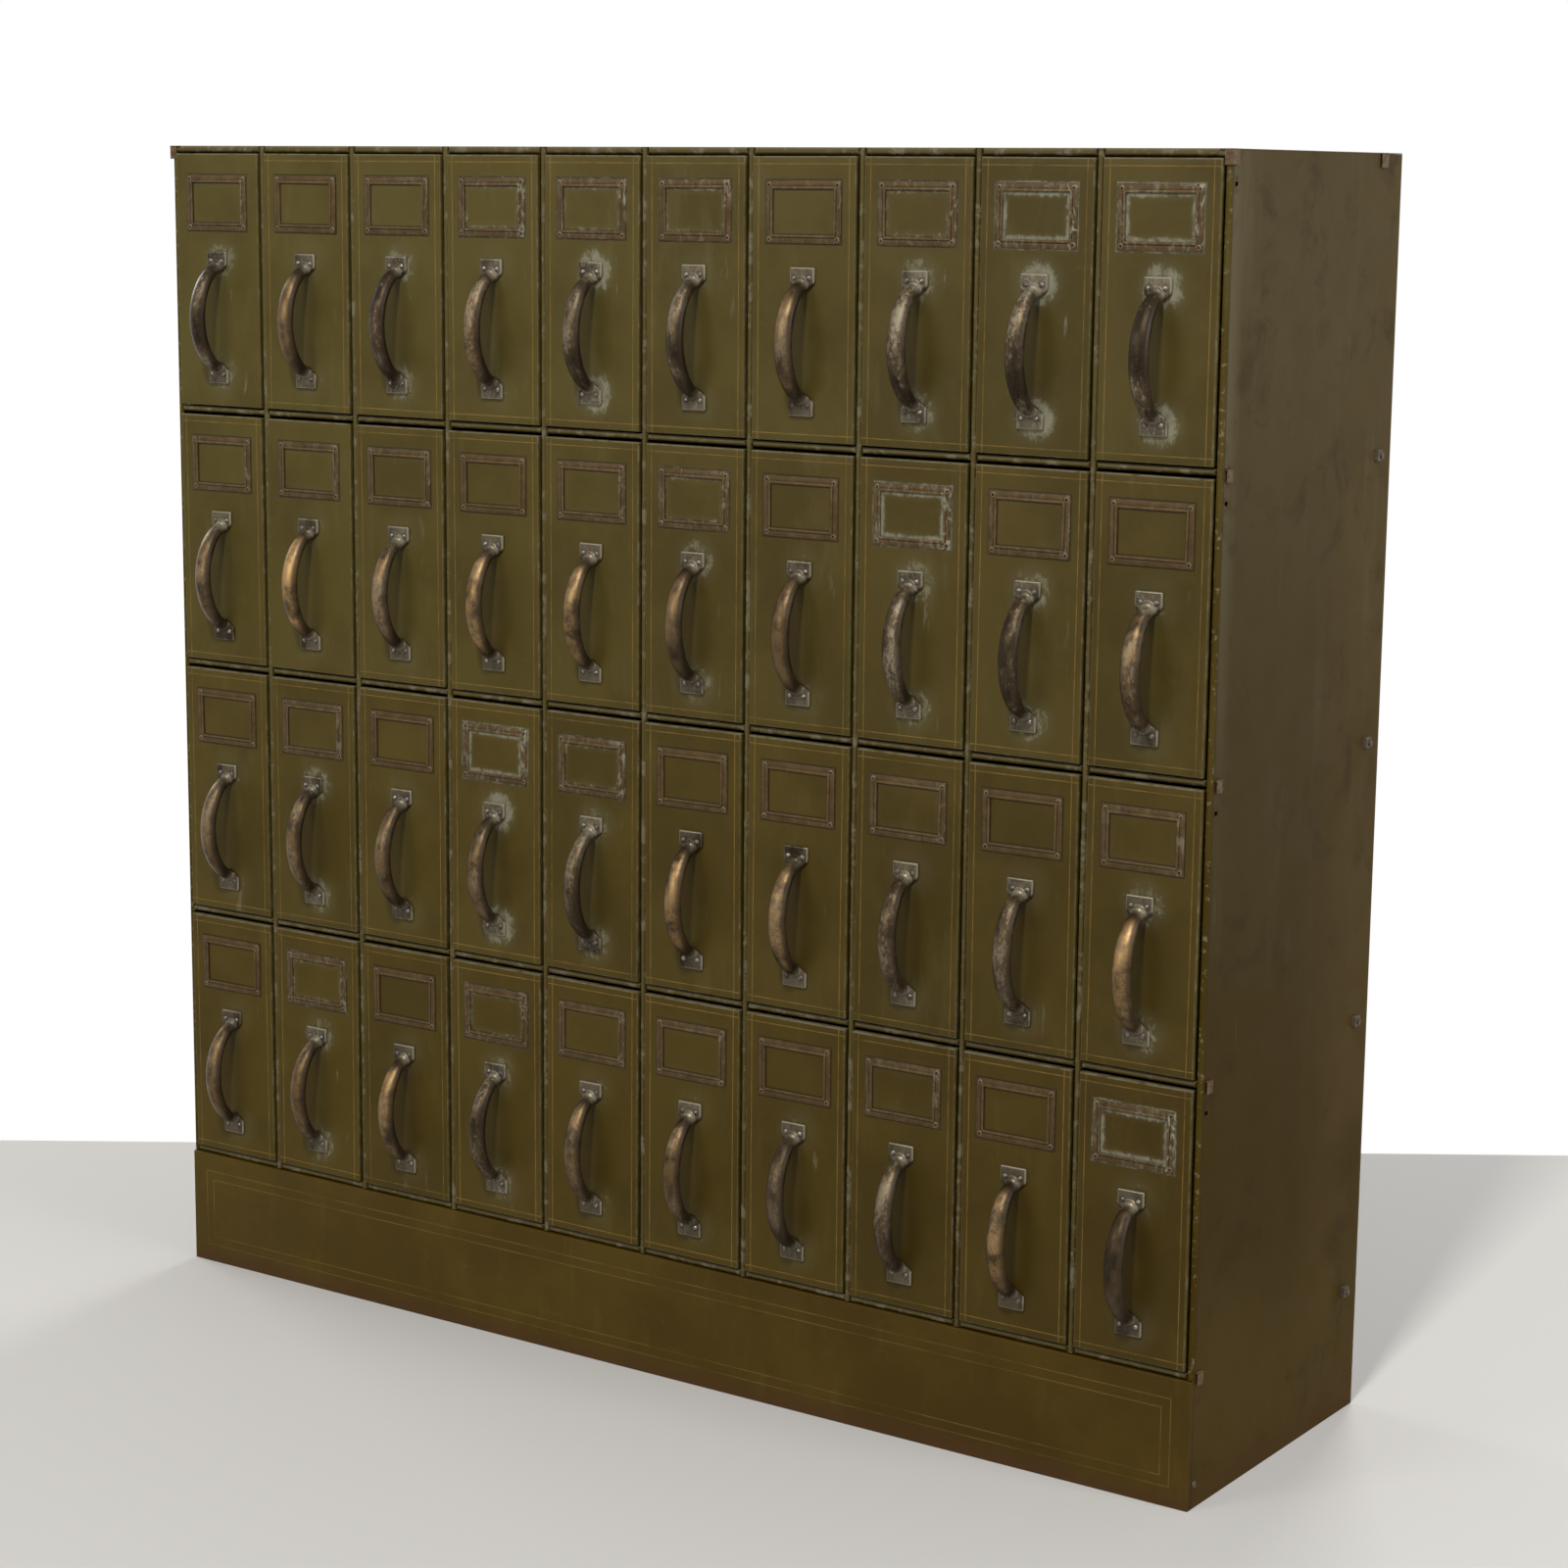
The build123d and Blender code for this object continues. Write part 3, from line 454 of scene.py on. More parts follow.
def rail_paint():
    """The rounded edges between the drawers: the same olive, rubbed bare along the middle in places; near
    the front, a painted highlight along the crest, dust and a painted highlight on upward faces, and
    painted shade on faces turned sideways and down.
    """
    g = Graph("rail_paint")
    # Painted light falloff across the cabinet.
    colour = shade(g, aged_paint(g, OLIVE, OLIVE_DARK, OLIVE_LIGHT), g.x, g.z)
    rubbed = g.noise(120.0, detail=7.0, roughness=0.7, stretch=(0.6, 1.0, 0.6), seed=6.0)
    front = g.band(g.y, FRONT_LINE + 4.0 * MM, FRONT_LINE + 2.0 * MM)
    facing = g.add("ShaderNodeNewGeometry").outputs["Normal"]
    facing_side, _, facing_up = g.add("ShaderNodeSeparateXYZ", facing).outputs
    facing_side = g.maths("ABSOLUTE", facing_side)
    ridge = g.times(g.band(facing_side, 0.5, 0.1), g.band(g.away(facing_up, 0.15), 0.5, 0.15))
    # Painted highlight along the crest of the rounded edge.
    colour = g.mix(g.times(ridge, front, 0.5), colour, OLIVE_LIGHT)
    # Painted shade on faces turned sideways and down.
    colour = g.mix(g.times(g.band(facing_side, 0.4, 0.9), front, 0.6), colour, GRIME_AND_SHADE)
    colour = g.mix(g.times(g.band(facing_up, -0.2, -0.8), front, 0.6), colour, GRIME_AND_SHADE)
    # Dust, and a painted highlight, on faces turned up.
    colour = g.mix(g.times(g.band(facing_up, 0.25, 0.7), front, 0.45), colour, DUST_AND_HIGHLIGHT)
    colour = g.mix(g.times(g.band(rubbed, 0.5, 0.62), front, 0.65), colour, DUST_AND_HIGHLIGHT)
    across = g.maths("ABSOLUTE", g.x)
    tab = g.band(across, cad_side() - 0.3 * MM, cad_side() + 0.1 * MM)
    corner = g.times(g.band(g.y, FRONT_LINE - 0.05 * MM, FRONT_LINE - 0.15 * MM),
                     g.band(across, cad_side() - 7 * MM, cad_side() - 6.2 * MM))
    browned = g.noise(260.0, detail=5.0, seed=7.0)
    colour = g.mix(g.most(tab, corner), colour, g.mix(g.band(browned, 0.35, 0.65), RUST, TAB_BROWN))
    return g.finish(colour, paint_roughness(g), g.noise(200.0, detail=5.0, seed=8.0), 0.15, 0.4 * MM)


def plinth_paint():
    """The plinth: olive with two thin gilt frames, scuffed and browned towards the floor."""
    g = Graph("plinth_paint")
    # Painted light falloff across the cabinet.
    colour = shade(g, aged_paint(g, OLIVE, OLIVE_DARK, OLIVE_LIGHT), g.x, g.z)
    colour = g.tint(colour, PLINTH_SHADE)
    low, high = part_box("plinth_front")
    half, middle = (high[0] - low[0]) / 2, (high[2] + low[2]) / 2
    lines = []
    for inset in PLINTH_LINES:
        frame_box = g.box_distance(half - inset, (high[2] - low[2]) / 2 - inset, middle)
        lines.append(g.line(frame_box, 0.0))
    faded = g.band(g.noise(22.0, detail=6.0, seed=5.0), 0.36, 0.6)
    lines = g.times(g.most(*lines), g.maths("MULTIPLY_ADD", faded, 0.35, 0.1))
    colour = g.mix(lines, colour, GILT)
    scuffs = g.noise(30.0, detail=9.0, roughness=0.75, stretch=(0.4, 1.0, 1.0), seed=6.0, swirl=0.5)
    colour = g.mix(g.times(g.band(scuffs, 0.6, 0.75), 0.35), colour, DUST_AND_HIGHLIGHT)
    patch = g.band(g.add("ShaderNodeVectorMath", g.place, Vector((-0.53, low[1], 0.035)),
                         operation="DISTANCE").outputs["Value"], 75 * MM, 20 * MM)
    colour = g.mix(g.times(patch, g.band(scuffs, 0.4, 0.6), 0.5), colour, COPPER)
    foot = g.band(g.maths("MULTIPLY_ADD", scuffs, 0.05, g.z), 0.05, 0.024)
    colour = g.mix(g.times(foot, 0.75), colour, RUST)
    return g.finish(colour, paint_roughness(g), g.noise(120.0, detail=6.0, seed=8.0), 0.14, 0.5 * MM)


def tray_paint():
    """Inside the drawers: the olive enamel, dusty and rubbed by papers."""
    g = Graph("tray_paint")
    colour = aged_paint(g, OLIVE, OLIVE_DARK, OLIVE_LIGHT)
    rubbed = g.noise(18.0, detail=8.0, roughness=0.7, stretch=(1.0, 0.15, 1.0), seed=9.0)
    colour = g.mix(g.times(g.band(rubbed, 0.5, 0.75), 0.5), colour, DUST_AND_HIGHLIGHT)
    return g.finish(colour, paint_roughness(g), g.noise(160.0, detail=5.0, seed=8.0), 0.12, 0.4 * MM)


def bronze():
    """The handles: brown cast bronze, pitted, chalky in patches and golden where hands polish it. Painted
    shade darkens the bow's sides, the plates round the screws and where they sit on the front; the lighter
    plate edges are wear and a painted highlight.
    """
    g = Graph("bronze", specular=0.15)
    broad = g.noise(34.0, detail=5.0, roughness=0.6, stretch=(1.0, 1.0, 0.6), seed=4.0)
    fine = g.noise(330.0, detail=6.0, roughness=0.75, stretch=(1.0, 1.0, 0.55), seed=1.0)
    colour = g.mix(g.band(broad, 0.62, 0.38), BRONZE, BRONZE_DARK)
    pale = g.maths("MULTIPLY_ADD", fine, 0.55, g.maths("MULTIPLY", broad, 0.45))
    pale = g.times(g.band(pale, 0.5, 0.58), g.own("pale_wear"))
    colour = g.mix(g.times(pale, 0.65), colour, BRONZE_PALE)
    gold = g.noise(46.0, detail=6.0, roughness=0.66, seed=2.0)
    gold = g.times(g.band(gold, 0.38, 0.6), g.own("gilt_wear"), g.band(g.y, -12 * MM, -28 * MM))
    colour = g.mix(g.times(gold, 0.7), colour, BRONZE_GOLD)
    pits = g.noise(640.0, detail=4.0, roughness=0.7, seed=3.0)
    colour = g.mix(g.times(g.band(pits, 0.5, 0.4), g.band(g.z, 34 * MM, -20 * MM), 0.8), colour, STEEL_DARK)
    facing = g.add("ShaderNodeNewGeometry").outputs["Normal"]
    facing_side = g.maths("ABSOLUTE", g.add("ShaderNodeSeparateXYZ", facing).outputs[0])
    # Painted shade: the bow's sides that face left and right are darkened.
    shaded_flank = g.band(facing_side, 0.3, 0.8)
    colour = g.mix(g.times(shaded_flank, g.band(g.y, -4 * MM, -9 * MM), 0.8), colour, BRONZE_DARK)
    feet = g.band(g.y, -8 * MM, -3 * MM)
    colour = g.mix(g.times(feet, 0.6), colour, BRONZE_DARK)
    colour = g.mix(g.times(feet, g.band(fine, 0.5, 0.62), g.own("feet_wear"), 0.4), colour, CHALK)
    across, up = g.maths("ABSOLUTE", g.x), g.maths("ABSOLUTE", g.z)
    plate = g.times(g.band(up, HANDLE_HEIGHT / 2 - 22 * MM, HANDLE_HEIGHT / 2 - 20 * MM),
                    g.band(g.y, -5 * MM, -4 * MM))
    side = g.maths("SUBTRACT", across, SCREW_SPACING / 2)
    end = g.maths("SUBTRACT", up, HANDLE_HEIGHT / 2 - SCREW_MARGIN)
    round_screw = g.maths("SQRT", g.maths("ADD", g.times(side, side), g.times(end, end)))
    # Painted shade round the screw heads on the plates.
    colour = g.mix(g.times(plate, g.band(round_screw, 4.6 * MM, 3.2 * MM), 0.85), colour, GRIME_AND_SHADE)
    # Lighter plate edges: wear, and a painted highlight.
    rim = g.most(g.band(across, 12.2 * MM, 13.4 * MM),
                 g.band(up, HANDLE_HEIGHT / 2 - 1.8 * MM, HANDLE_HEIGHT / 2 - 0.8 * MM))
    colour = g.mix(g.times(rim, plate, g.band(broad, 0.3, 0.5), 0.8), colour, BRONZE_PALE)
    # Painted shade where the plates sit on the front.
    seat = g.band(g.y, -1.6 * MM, -0.6 * MM)
    colour = g.mix(g.times(seat, 0.7), colour, GRIME_AND_SHADE)
    neck = g.times(g.band(up, BOW_HALF - 6 * MM, BOW_HALF), g.band(g.y, -14 * MM, -7 * MM),
                   g.band(g.y, -2.8 * MM, -3.6 * MM))
    colour = g.mix(g.times(neck, g.band(broad, 0.3, 0.55), 0.45), colour, BRONZE_PALE)
    roughness = g.maths("MULTIPLY_ADD", pale, 0.2, g.maths("MULTIPLY_ADD", fine, 0.2, 0.24))
    metallic = g.times(g.maths("MULTIPLY_ADD", pale, -0.25, 0.65),
                       g.maths("MULTIPLY_ADD", shaded_flank, -0.85, 1.0))
    return g.finish(colour, roughness, g.maths("ADD", pits, fine), 0.45, 0.5 * MM, metallic)


def copper():
    """The label holders: thin brown stamped sheet with a dull patina, chalky in places. The right and
    bottom edges carry a painted highlight, the groove below the top strip a painted shade, and the outer
    edge is darkened, partly as painted shade.
    """
    g = Graph("copper")
    patches = g.noise(90.0, detail=7.0, roughness=0.66, seed=1.0)
    colour = g.mix(g.times(g.band(patches, 0.46, 0.7), 0.5), COPPER, COPPER_PALE)
    colour = g.mix(g.times(g.band(patches, 0.46, 0.3), 0.6), colour, GRIME_AND_SHADE)
    outer = g.box_distance(HOLDER_WIDTH / 2, HOLDER_HEIGHT / 2, HOLDER_MIDDLE)
    foot = HOLDER_MIDDLE - HOLDER_HEIGHT / 2
    head = HOLDER_MIDDLE + HOLDER_HEIGHT / 2
    # Painted highlight: the right and bottom edges are lighter.
    lit = g.most(g.band(g.x, HOLDER_WIDTH / 2 - 1.4 * MM, HOLDER_WIDTH / 2 - 0.5 * MM),
                 g.band(g.z, foot + 1.4 * MM, foot + 0.5 * MM))
    edge_wear = g.noise(200.0, detail=5.0, roughness=0.7, seed=7.0)
    colour = g.mix(g.times(lit, g.band(edge_wear, 0.42, 0.58), 0.6), colour, STAIN_AND_HIGHLIGHT)
    # The outer edge darkened: soiling, and painted shade.
    edge_dirt_and_shade = g.times(g.band(outer, -1.2 * MM, -0.2 * MM), g.band(edge_wear, 0.55, 0.4), 0.5)
    colour = g.mix(edge_dirt_and_shade, colour, GRIME_AND_SHADE)
    ridge = g.band(g.y, -1.5 * MM, -HOLDER_PROUD)
    rubbed = g.noise(300.0, detail=5.0, roughness=0.7, seed=5.0)
    colour = g.mix(g.times(ridge, g.band(rubbed, 0.4, 0.6), 0.6), colour, COPPER_PALE)
    # Painted shade: a dark line in the groove below the top strip.
    groove = g.box_distance(HOLDER_WIDTH / 2 - 5.2 * MM, HOLDER_HEIGHT / 2 - 5.2 * MM, HOLDER_MIDDLE)
    below_top = g.band(g.z, head - 8 * MM, head - 9 * MM)
    groove = g.times(g.band(g.maths("ABSOLUTE", groove), 0.75 * MM, 0.2 * MM), below_top)
    colour = g.mix(g.times(groove, 0.85), colour, GRIME_AND_SHADE)
    right = g.band(g.x, HOLDER_WIDTH / 2 - 13 * MM, HOLDER_WIDTH / 2 - 6 * MM)
    flaky = g.noise(130.0, detail=8.0, roughness=0.72, stretch=(1.0, 1.0, 0.5), seed=6.0, swirl=1.2)
    chalk = g.times(g.maths("MULTIPLY_ADD", right, 0.6, 0.3), g.band(flaky, 0.5, 0.62), g.own("label_wear"))
    colour = g.mix(chalk, colour, CHALK)
    roughness = g.maths("MULTIPLY_ADD", g.band(patches, 0.4, 0.7), 0.2, 0.4)
    return g.finish(colour, roughness, g.noise(380.0, detail=4.0, seed=3.0), 0.25, 0.3 * MM, 0.12)


def steel(name, base, dark, roughness, metallic=0.75):
    """Screws, pins, nuts and rods."""
    g = Graph(name, specular=0.5)
    patches = g.noise(220.0, detail=7.0, roughness=0.7, seed=1.0)
    colour = g.mix(g.band(patches, 0.4, 0.65), dark, base)
    rough = g.maths("MULTIPLY_ADD", g.band(patches, 0.65, 0.4), 0.25, roughness)
    return g.finish(colour, rough, g.noise(500.0, detail=3.0, seed=2.0), 0.3, 0.3 * MM, metallic)


# ---- mesh helpers ----
def to_mesh(name, bm, smooth_angle=35.0):
    """Turns a bmesh into a mesh that is smooth but for its sharp edges."""
    mesh = bpy.data.meshes.new(name)
    bm.normal_update()
    bm.to_mesh(mesh)
    bm.free()
    mesh.shade_smooth()
    mesh.set_sharp_from_angle(angle=radians(smooth_angle))
    return mesh


def place_piece(name, mesh, body, materials, matrix, node=None):
    """Puts a piece on its body, with its materials and the node that it stands for."""
    piece = bpy.data.objects.new(name, mesh)
    bpy.context.scene.collection.objects.link(piece)
    piece.matrix_world = matrix
    for material in materials:
        mesh.materials.append(material)
    bpy.context.view_layer.update()
    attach(piece, body)
    if node:
        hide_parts(node)
    return piece


def evaluated(name, mesh, *modifiers):
    """The mesh after modifiers, each given as a type and its settings."""
    holder = bpy.data.objects.new(name, mesh)
    bpy.context.scene.collection.objects.link(holder)
    for kind, settings in modifiers:
        modifier = holder.modifiers.new(kind.title(), kind)
        for key, value in settings.items():
            setattr(modifier, key, value)
    graph = bpy.context.evaluated_depsgraph_get()
    result = bpy.data.meshes.new_from_object(holder.evaluated_get(graph))
    bpy.data.objects.remove(holder)
    result.name = name
    return result


def block(bm, low, high):
    """A box between two corners."""
    size = Vector(high) - Vector(low)
    middle = (Vector(high) + Vector(low)) / 2
    matrix = Matrix.Translation(middle) @ Matrix.Diagonal((*size, 1.0))
    return bmesh.ops.create_cube(bm, size=1.0, matrix=matrix)["verts"]


def loops(bm, rings, closed_ends=True):
    """A skin over rings of points with as many points each."""
    rings = [[bm.verts.new(point) for point in ring] for ring in rings]
    count = len(rings[0])
    for a, b in zip(rings, rings[1:]):
        for i in range(count):
            j = (i + 1) % count
            bm.faces.new((a[i], a[j], b[j], b[i]))
    if closed_ends:
        bm.faces.new(rings[0][::-1])
        bm.faces.new(rings[-1])


def dome(bm, x, z, y_seat, radius, head, sides=16, steps=5, material=0):
    """A domed head that stands out of a seat towards -Y."""
    rings = []
    for i in range(steps + 1):
        angle = i / steps * pi / 2 * 0.94
        r, rise = radius * cos(angle), head * sin(angle)
        turn = [2 * pi * k / sides for k in range(sides)]
        rings.append([(x + r * cos(t), y_seat - rise, z + r * sin(t)) for t in turn])
    before = set(bm.faces)
    loops(bm, rings)
    for face in set(bm.faces) - before:
        face.material_index = material


# ---- drawer meshes ----
def front_mesh():
    """The drawer's front: a sheet with rounded, turned back edges; its hand-made unevenness is pressed in
    afterwards by uneven.
    """
    bm = bmesh.new()
    columns, rows = FRONT_GRID
    half_x, half_z = FRONT_WIDTH / 2 - FRONT_ROUND, FRONT_HEIGHT / 2 - FRONT_ROUND
    grid = [[bm.verts.new(((2 * i / columns - 1) * half_x, 0, (2 * k / rows - 1) * half_z))
             for i in range(columns + 1)] for k in range(rows + 1)]
    for k in range(rows):
        for i in range(columns):
            bm.faces.new((grid[k][i], grid[k][i + 1], grid[k + 1][i + 1], grid[k + 1][i]))
    steps = [(FRONT_ROUND * sin(a), FRONT_ROUND * (1 - cos(a)))
             for a in (pi / 8, pi / 4, 3 * pi / 8, pi / 2)]
    steps.append((FRONT_ROUND, FRONT_DEPTH))
    rim = [edge for edge in bm.edges if edge.is_boundary]
    before = 0.0
    for out, back in steps:
        made = bmesh.ops.extrude_edge_only(bm, edges=rim)["geom"]
        rim = [item for item in made if isinstance(item, bmesh.types.BMEdge)]
        for vert in {vert for edge in rim for vert in edge.verts}:
            if abs(abs(vert.co.x) - half_x - before) < 0.01 * MM:
                vert.co.x += (out - before) * (1 if vert.co.x > 0 else -1)
            if abs(abs(vert.co.z) - half_z - before) < 0.01 * MM:
                vert.co.z += (out - before) * (1 if vert.co.z > 0 else -1)
            vert.co.y = back
        before = out
    bmesh.ops.recalc_face_normals(bm, faces=bm.faces)
    mesh = to_mesh("front", bm)
    return evaluated("front", mesh, ("SOLIDIFY", {"thickness": SHEET, "offset": -1.0}))


def uneven(mesh, seed):
    """Presses the middle of a front in and out a little, differently on every drawer."""
    shift = Vector((seed * 3.1, seed * 1.7, seed * 2.3))
    for vert in mesh.vertices:
        x, y, z = vert.co
        inner = min(1.0, (FRONT_WIDTH / 2 - abs(x)) / STIFF_EDGE, (FRONT_HEIGHT / 2 - abs(z)) / STIFF_EDGE)
        if inner > 0 and y < 2 * MM:
            vert.co.y += UNEVENNESS * inner * noise.noise(vert.co * 16 + shift)


def tray_mesh():
    """Bottom, sides with hemmed top edges, back, and the glides under the bottom."""
    bm = bmesh.new()
    half, base = TRAY_WIDTH / 2, -FRONT_HEIGHT / 2 + TRAY_LIFT
    y0, y1 = TRAY_START, TRAY_START + TRAY_LENGTH
    block(bm, (-half, y0, base), (half, y1, base + TRAY_SHEET))
    for side in (-1, 1):
        inner, outer = side * (half - TRAY_SHEET), side * half
        block(bm, (min(inner, outer), y0, base + TRAY_SHEET), (max(inner, outer), y1, base + TRAY_HEIGHT))
        hem = side * (half - HEM_FOLD * TRAY_SHEET)
        block(bm, (min(hem, inner), y0 + FRONT_DEPTH, base + TRAY_HEIGHT - HEM),
              (max(hem, inner), y1 - 2 * MM, base + TRAY_HEIGHT))
        near, far = side * (half - GLIDE_INSET - GLIDE_WIDTH), side * (half - GLIDE_INSET)
        block(bm, (min(near, far), y0 + FRONT_DEPTH + MM, base - GLIDE_DEPTH),
              (max(near, far), y1, base))
    back = y1 - 1 * MM
    block(bm, (-half + TRAY_SHEET, back - TRAY_SHEET, base + TRAY_SHEET),
          (half - TRAY_SHEET, back, base + TRAY_HEIGHT - MM))
    mesh = to_mesh("tray", bm)
    return evaluated("tray", mesh, ("BEVEL", {"width": 0.3 * MM, "segments": 2, "limit_method": "ANGLE"}))


def holder_mesh():
    """The label holder: a mitred frame whose inner side is raised into a ridge, and four pins."""
    bm = bmesh.new()
    profile = [(0.0, 0.05), (0.0, 0.9), (0.35, 1.15), (4.5, 1.25), (5.0, 1.1), (5.2, 0.9), (5.4, 1.1),
               (6.0, 1.7), (6.8, 1.85), (7.7, 1.65), (8.2, 1.2), (8.2, 0.7), (4.6, 0.7), (4.4, 0.05)]
    rings = []
    for inset, proud in profile:
        x, z = HOLDER_WIDTH / 2 - inset * MM, HOLDER_HEIGHT / 2 - inset * MM
        y = -proud * MM
        rings.append([(-x, y, HOLDER_MIDDLE - z), (x, y, HOLDER_MIDDLE - z),
                      (x, y, HOLDER_MIDDLE + z), (-x, y, HOLDER_MIDDLE + z)])
    rings.append(rings[0])
    loops(bm, rings, closed_ends=False)
    bmesh.ops.remove_doubles(bm, verts=bm.verts, dist=0.001 * MM)
    bmesh.ops.recalc_face_normals(bm, faces=bm.faces)
    for side in (-1, 1):
        for end in (-1, 1):
            x = side * (HOLDER_WIDTH / 2 - PIN_INSET)
            z = HOLDER_MIDDLE + end * (HOLDER_HEIGHT / 2 - PIN_INSET)
            dome(bm, x, z, -1.1 * MM, PIN_COLLAR, 0.4 * MM, material=2)
            dome(bm, x, z, -1.4 * MM, PIN_RADIUS, PIN_HEAD, material=1)
    return to_mesh("holder", bm)


def bow_place(turn):
    """A point of the bow's middle line. turn goes from 0 at the top foot to pi at the bottom one."""
    return Vector((0, -BOW_STANDOFF * max(0.0, sin(turn)) ** BOW_FLATNESS, BOW_HALF * cos(turn)))


def bow_rings():
    """Oval rings along the bow, wider at its middle and flared again where they meet the feet."""
    rings = []
    for i in range(BOW_STEPS + 1):
        turn = pi * i / BOW_STEPS
        swell = max(0.0, sin(turn)) ** 0.85
        flare = BOW_FLARE * max(0.0, 1 - swell * 3.0) ** 2
        width = BOW_END[0] + (BOW_MIDDLE[0] - BOW_END[0]) * swell + flare
        thickness = BOW_END[1] + (BOW_MIDDLE[1] - BOW_END[1]) * swell + flare
        near, far = bow_place(max(0.0, turn - 0.02)), bow_place(min(pi, turn + 0.02))
        outward = Vector((1, 0, 0)).cross((far - near).normalized())
        centre = bow_place(turn)
        rings.append([centre + Vector((width / 2 * cos(a), 0, 0)) + outward * (thickness / 2 * sin(a))
                      for a in (2 * pi * k / BOW_SIDES for k in range(BOW_SIDES))])
    return rings


def foot_plate(bm, end):
    """The top (end 1) or bottom (end -1) plate: bevelled all round and tapered towards the bow."""
    rings = []
    for inset, proud in FOOT_LAYERS:
        ring = []
        for x, z in FOOT_OUTLINE:
            toward = Vector((-x, FOOT_CENTRE - z)).normalized() * inset
            ring.append(((x + toward.x) * MM, -proud * MM, end * (HANDLE_HEIGHT / 2 - (z + toward.y) * MM)))
        rings.append(ring)
    loops(bm, rings)


def handle_mesh():
    """The cast handle: bow and feet run into each other, with a knuckle below the screws."""
    bm = bmesh.new()
    loops(bm, bow_rings())
    for end in (1, -1):
        foot_plate(bm, end)
        knuckle = Matrix.Translation((0, -3.0 * MM, end * (BOW_HALF + 0.5 * MM)))
        knuckle = knuckle @ Matrix.Diagonal((*KNUCKLE, 1.0))
        bmesh.ops.create_icosphere(bm, subdivisions=3, radius=1.0, matrix=knuckle)
    bmesh.ops.recalc_face_normals(bm, faces=bm.faces)
    mesh = to_mesh("handle", bm)
    mesh = evaluated("handle", mesh, ("REMESH", {"mode": "VOXEL", "voxel_size": SKIN_VOXEL}),
                     ("SMOOTH", {"factor": 0.5, "iterations": 4}), ("DECIMATE", {"ratio": 0.28}))
    bm = bmesh.new()
    bm.from_mesh(mesh)
    for end in (-1, 1):
        for side in (-1, 1):
            dome(bm, side * SCREW_SPACING / 2, end * (HANDLE_HEIGHT / 2 - SCREW_MARGIN),
                 -FOOT_THICKNESS + 0.3 * MM, SCREW_RADIUS, SCREW_HEAD, material=1)
    return to_mesh("handle", bm, smooth_angle=50.0)


# ---- drawers ----
def dress_drawer(row, column, meshes, paints, chance):
    """Stands the detailed pieces of one drawer where its solids are."""
    node, body = f"drawer_r{row}_c{column}", f"drawer_body_r{row}_c{column}"
    low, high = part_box(node)
    middle = (low[0] + high[0]) / 2, low[1] + HANDLE_REACH, high[2] - FRONT_HEIGHT / 2
    wear = {name: int(table[row - 1][column - 1]) / 3
            for name, table in (("feet_wear", FEET_WEAR), ("label_wear", LABEL_WEAR),
                                ("gilt_wear", GILT_WEAR), ("pale_wear", PALE_WEAR))}
    wear["lined"] = 0.0 if (row, column) in UNLINED else 1.0
    plan = {"front": [paints["drawer"]], "tray": [paints["tray"]],
            "holder": [paints["copper"], paints["pin"], paints["collar"]],
            "handle": [paints["bronze"], paints["screw"]]}
    place = Matrix.Translation(middle)
    hung = place @ Matrix.Rotation(radians(chance.uniform(-TILT, TILT)), 4, "Y")
    for kind, materials in plan.items():
        mesh = meshes[kind].copy()
        matrix = place if kind == "tray" else hung
        if kind == "front":
            uneven(mesh, row * COLUMNS + column)
        if kind == "handle":
            askew = Matrix.Rotation(radians(chance.uniform(-HANDLE_TILT, HANDLE_TILT)), 4, "Y")
            matrix = hung @ Matrix.Translation((0, 0, HANDLE_MIDDLE)) @ askew
        piece = place_piece(f"{kind}_r{row}_c{column}", mesh, body, materials,
                            matrix, node)
        for name, value in wear.items():
            piece[name] = value


# ---- where things are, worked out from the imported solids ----
HOLDER_MIDDLE = FRONT_HEIGHT / 2 - HOLDER_DROP - HOLDER_HEIGHT / 2
HANDLE_MIDDLE = FRONT_HEIGHT / 2 - HANDLE_DROP - HANDLE_HEIGHT / 2
FRONT_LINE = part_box("shelf_1")[0][1]
BACK_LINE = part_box("back_panel")[1][1]


def dress_case(paints):
    """Gives the solids of the case their paint."""
    finishes = {"case": ["left_side_panel", "right_side_panel", "back_panel"],
                "rail": ["top_panel"] + [f"divider_{n}" for n in range(1, COLUMNS)]
                + [f"shelf_{n}" for n in range(1, ROWS + 1)],
                "plinth": ["plinth_front"], "nut": ["tie_rods_and_nuts", "plinth_screws"]}
    for paint, nodes in finishes.items():
        for node in nodes:
            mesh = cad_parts[node].data
            mesh.materials.clear()
            mesh.materials.append(paints[paint])


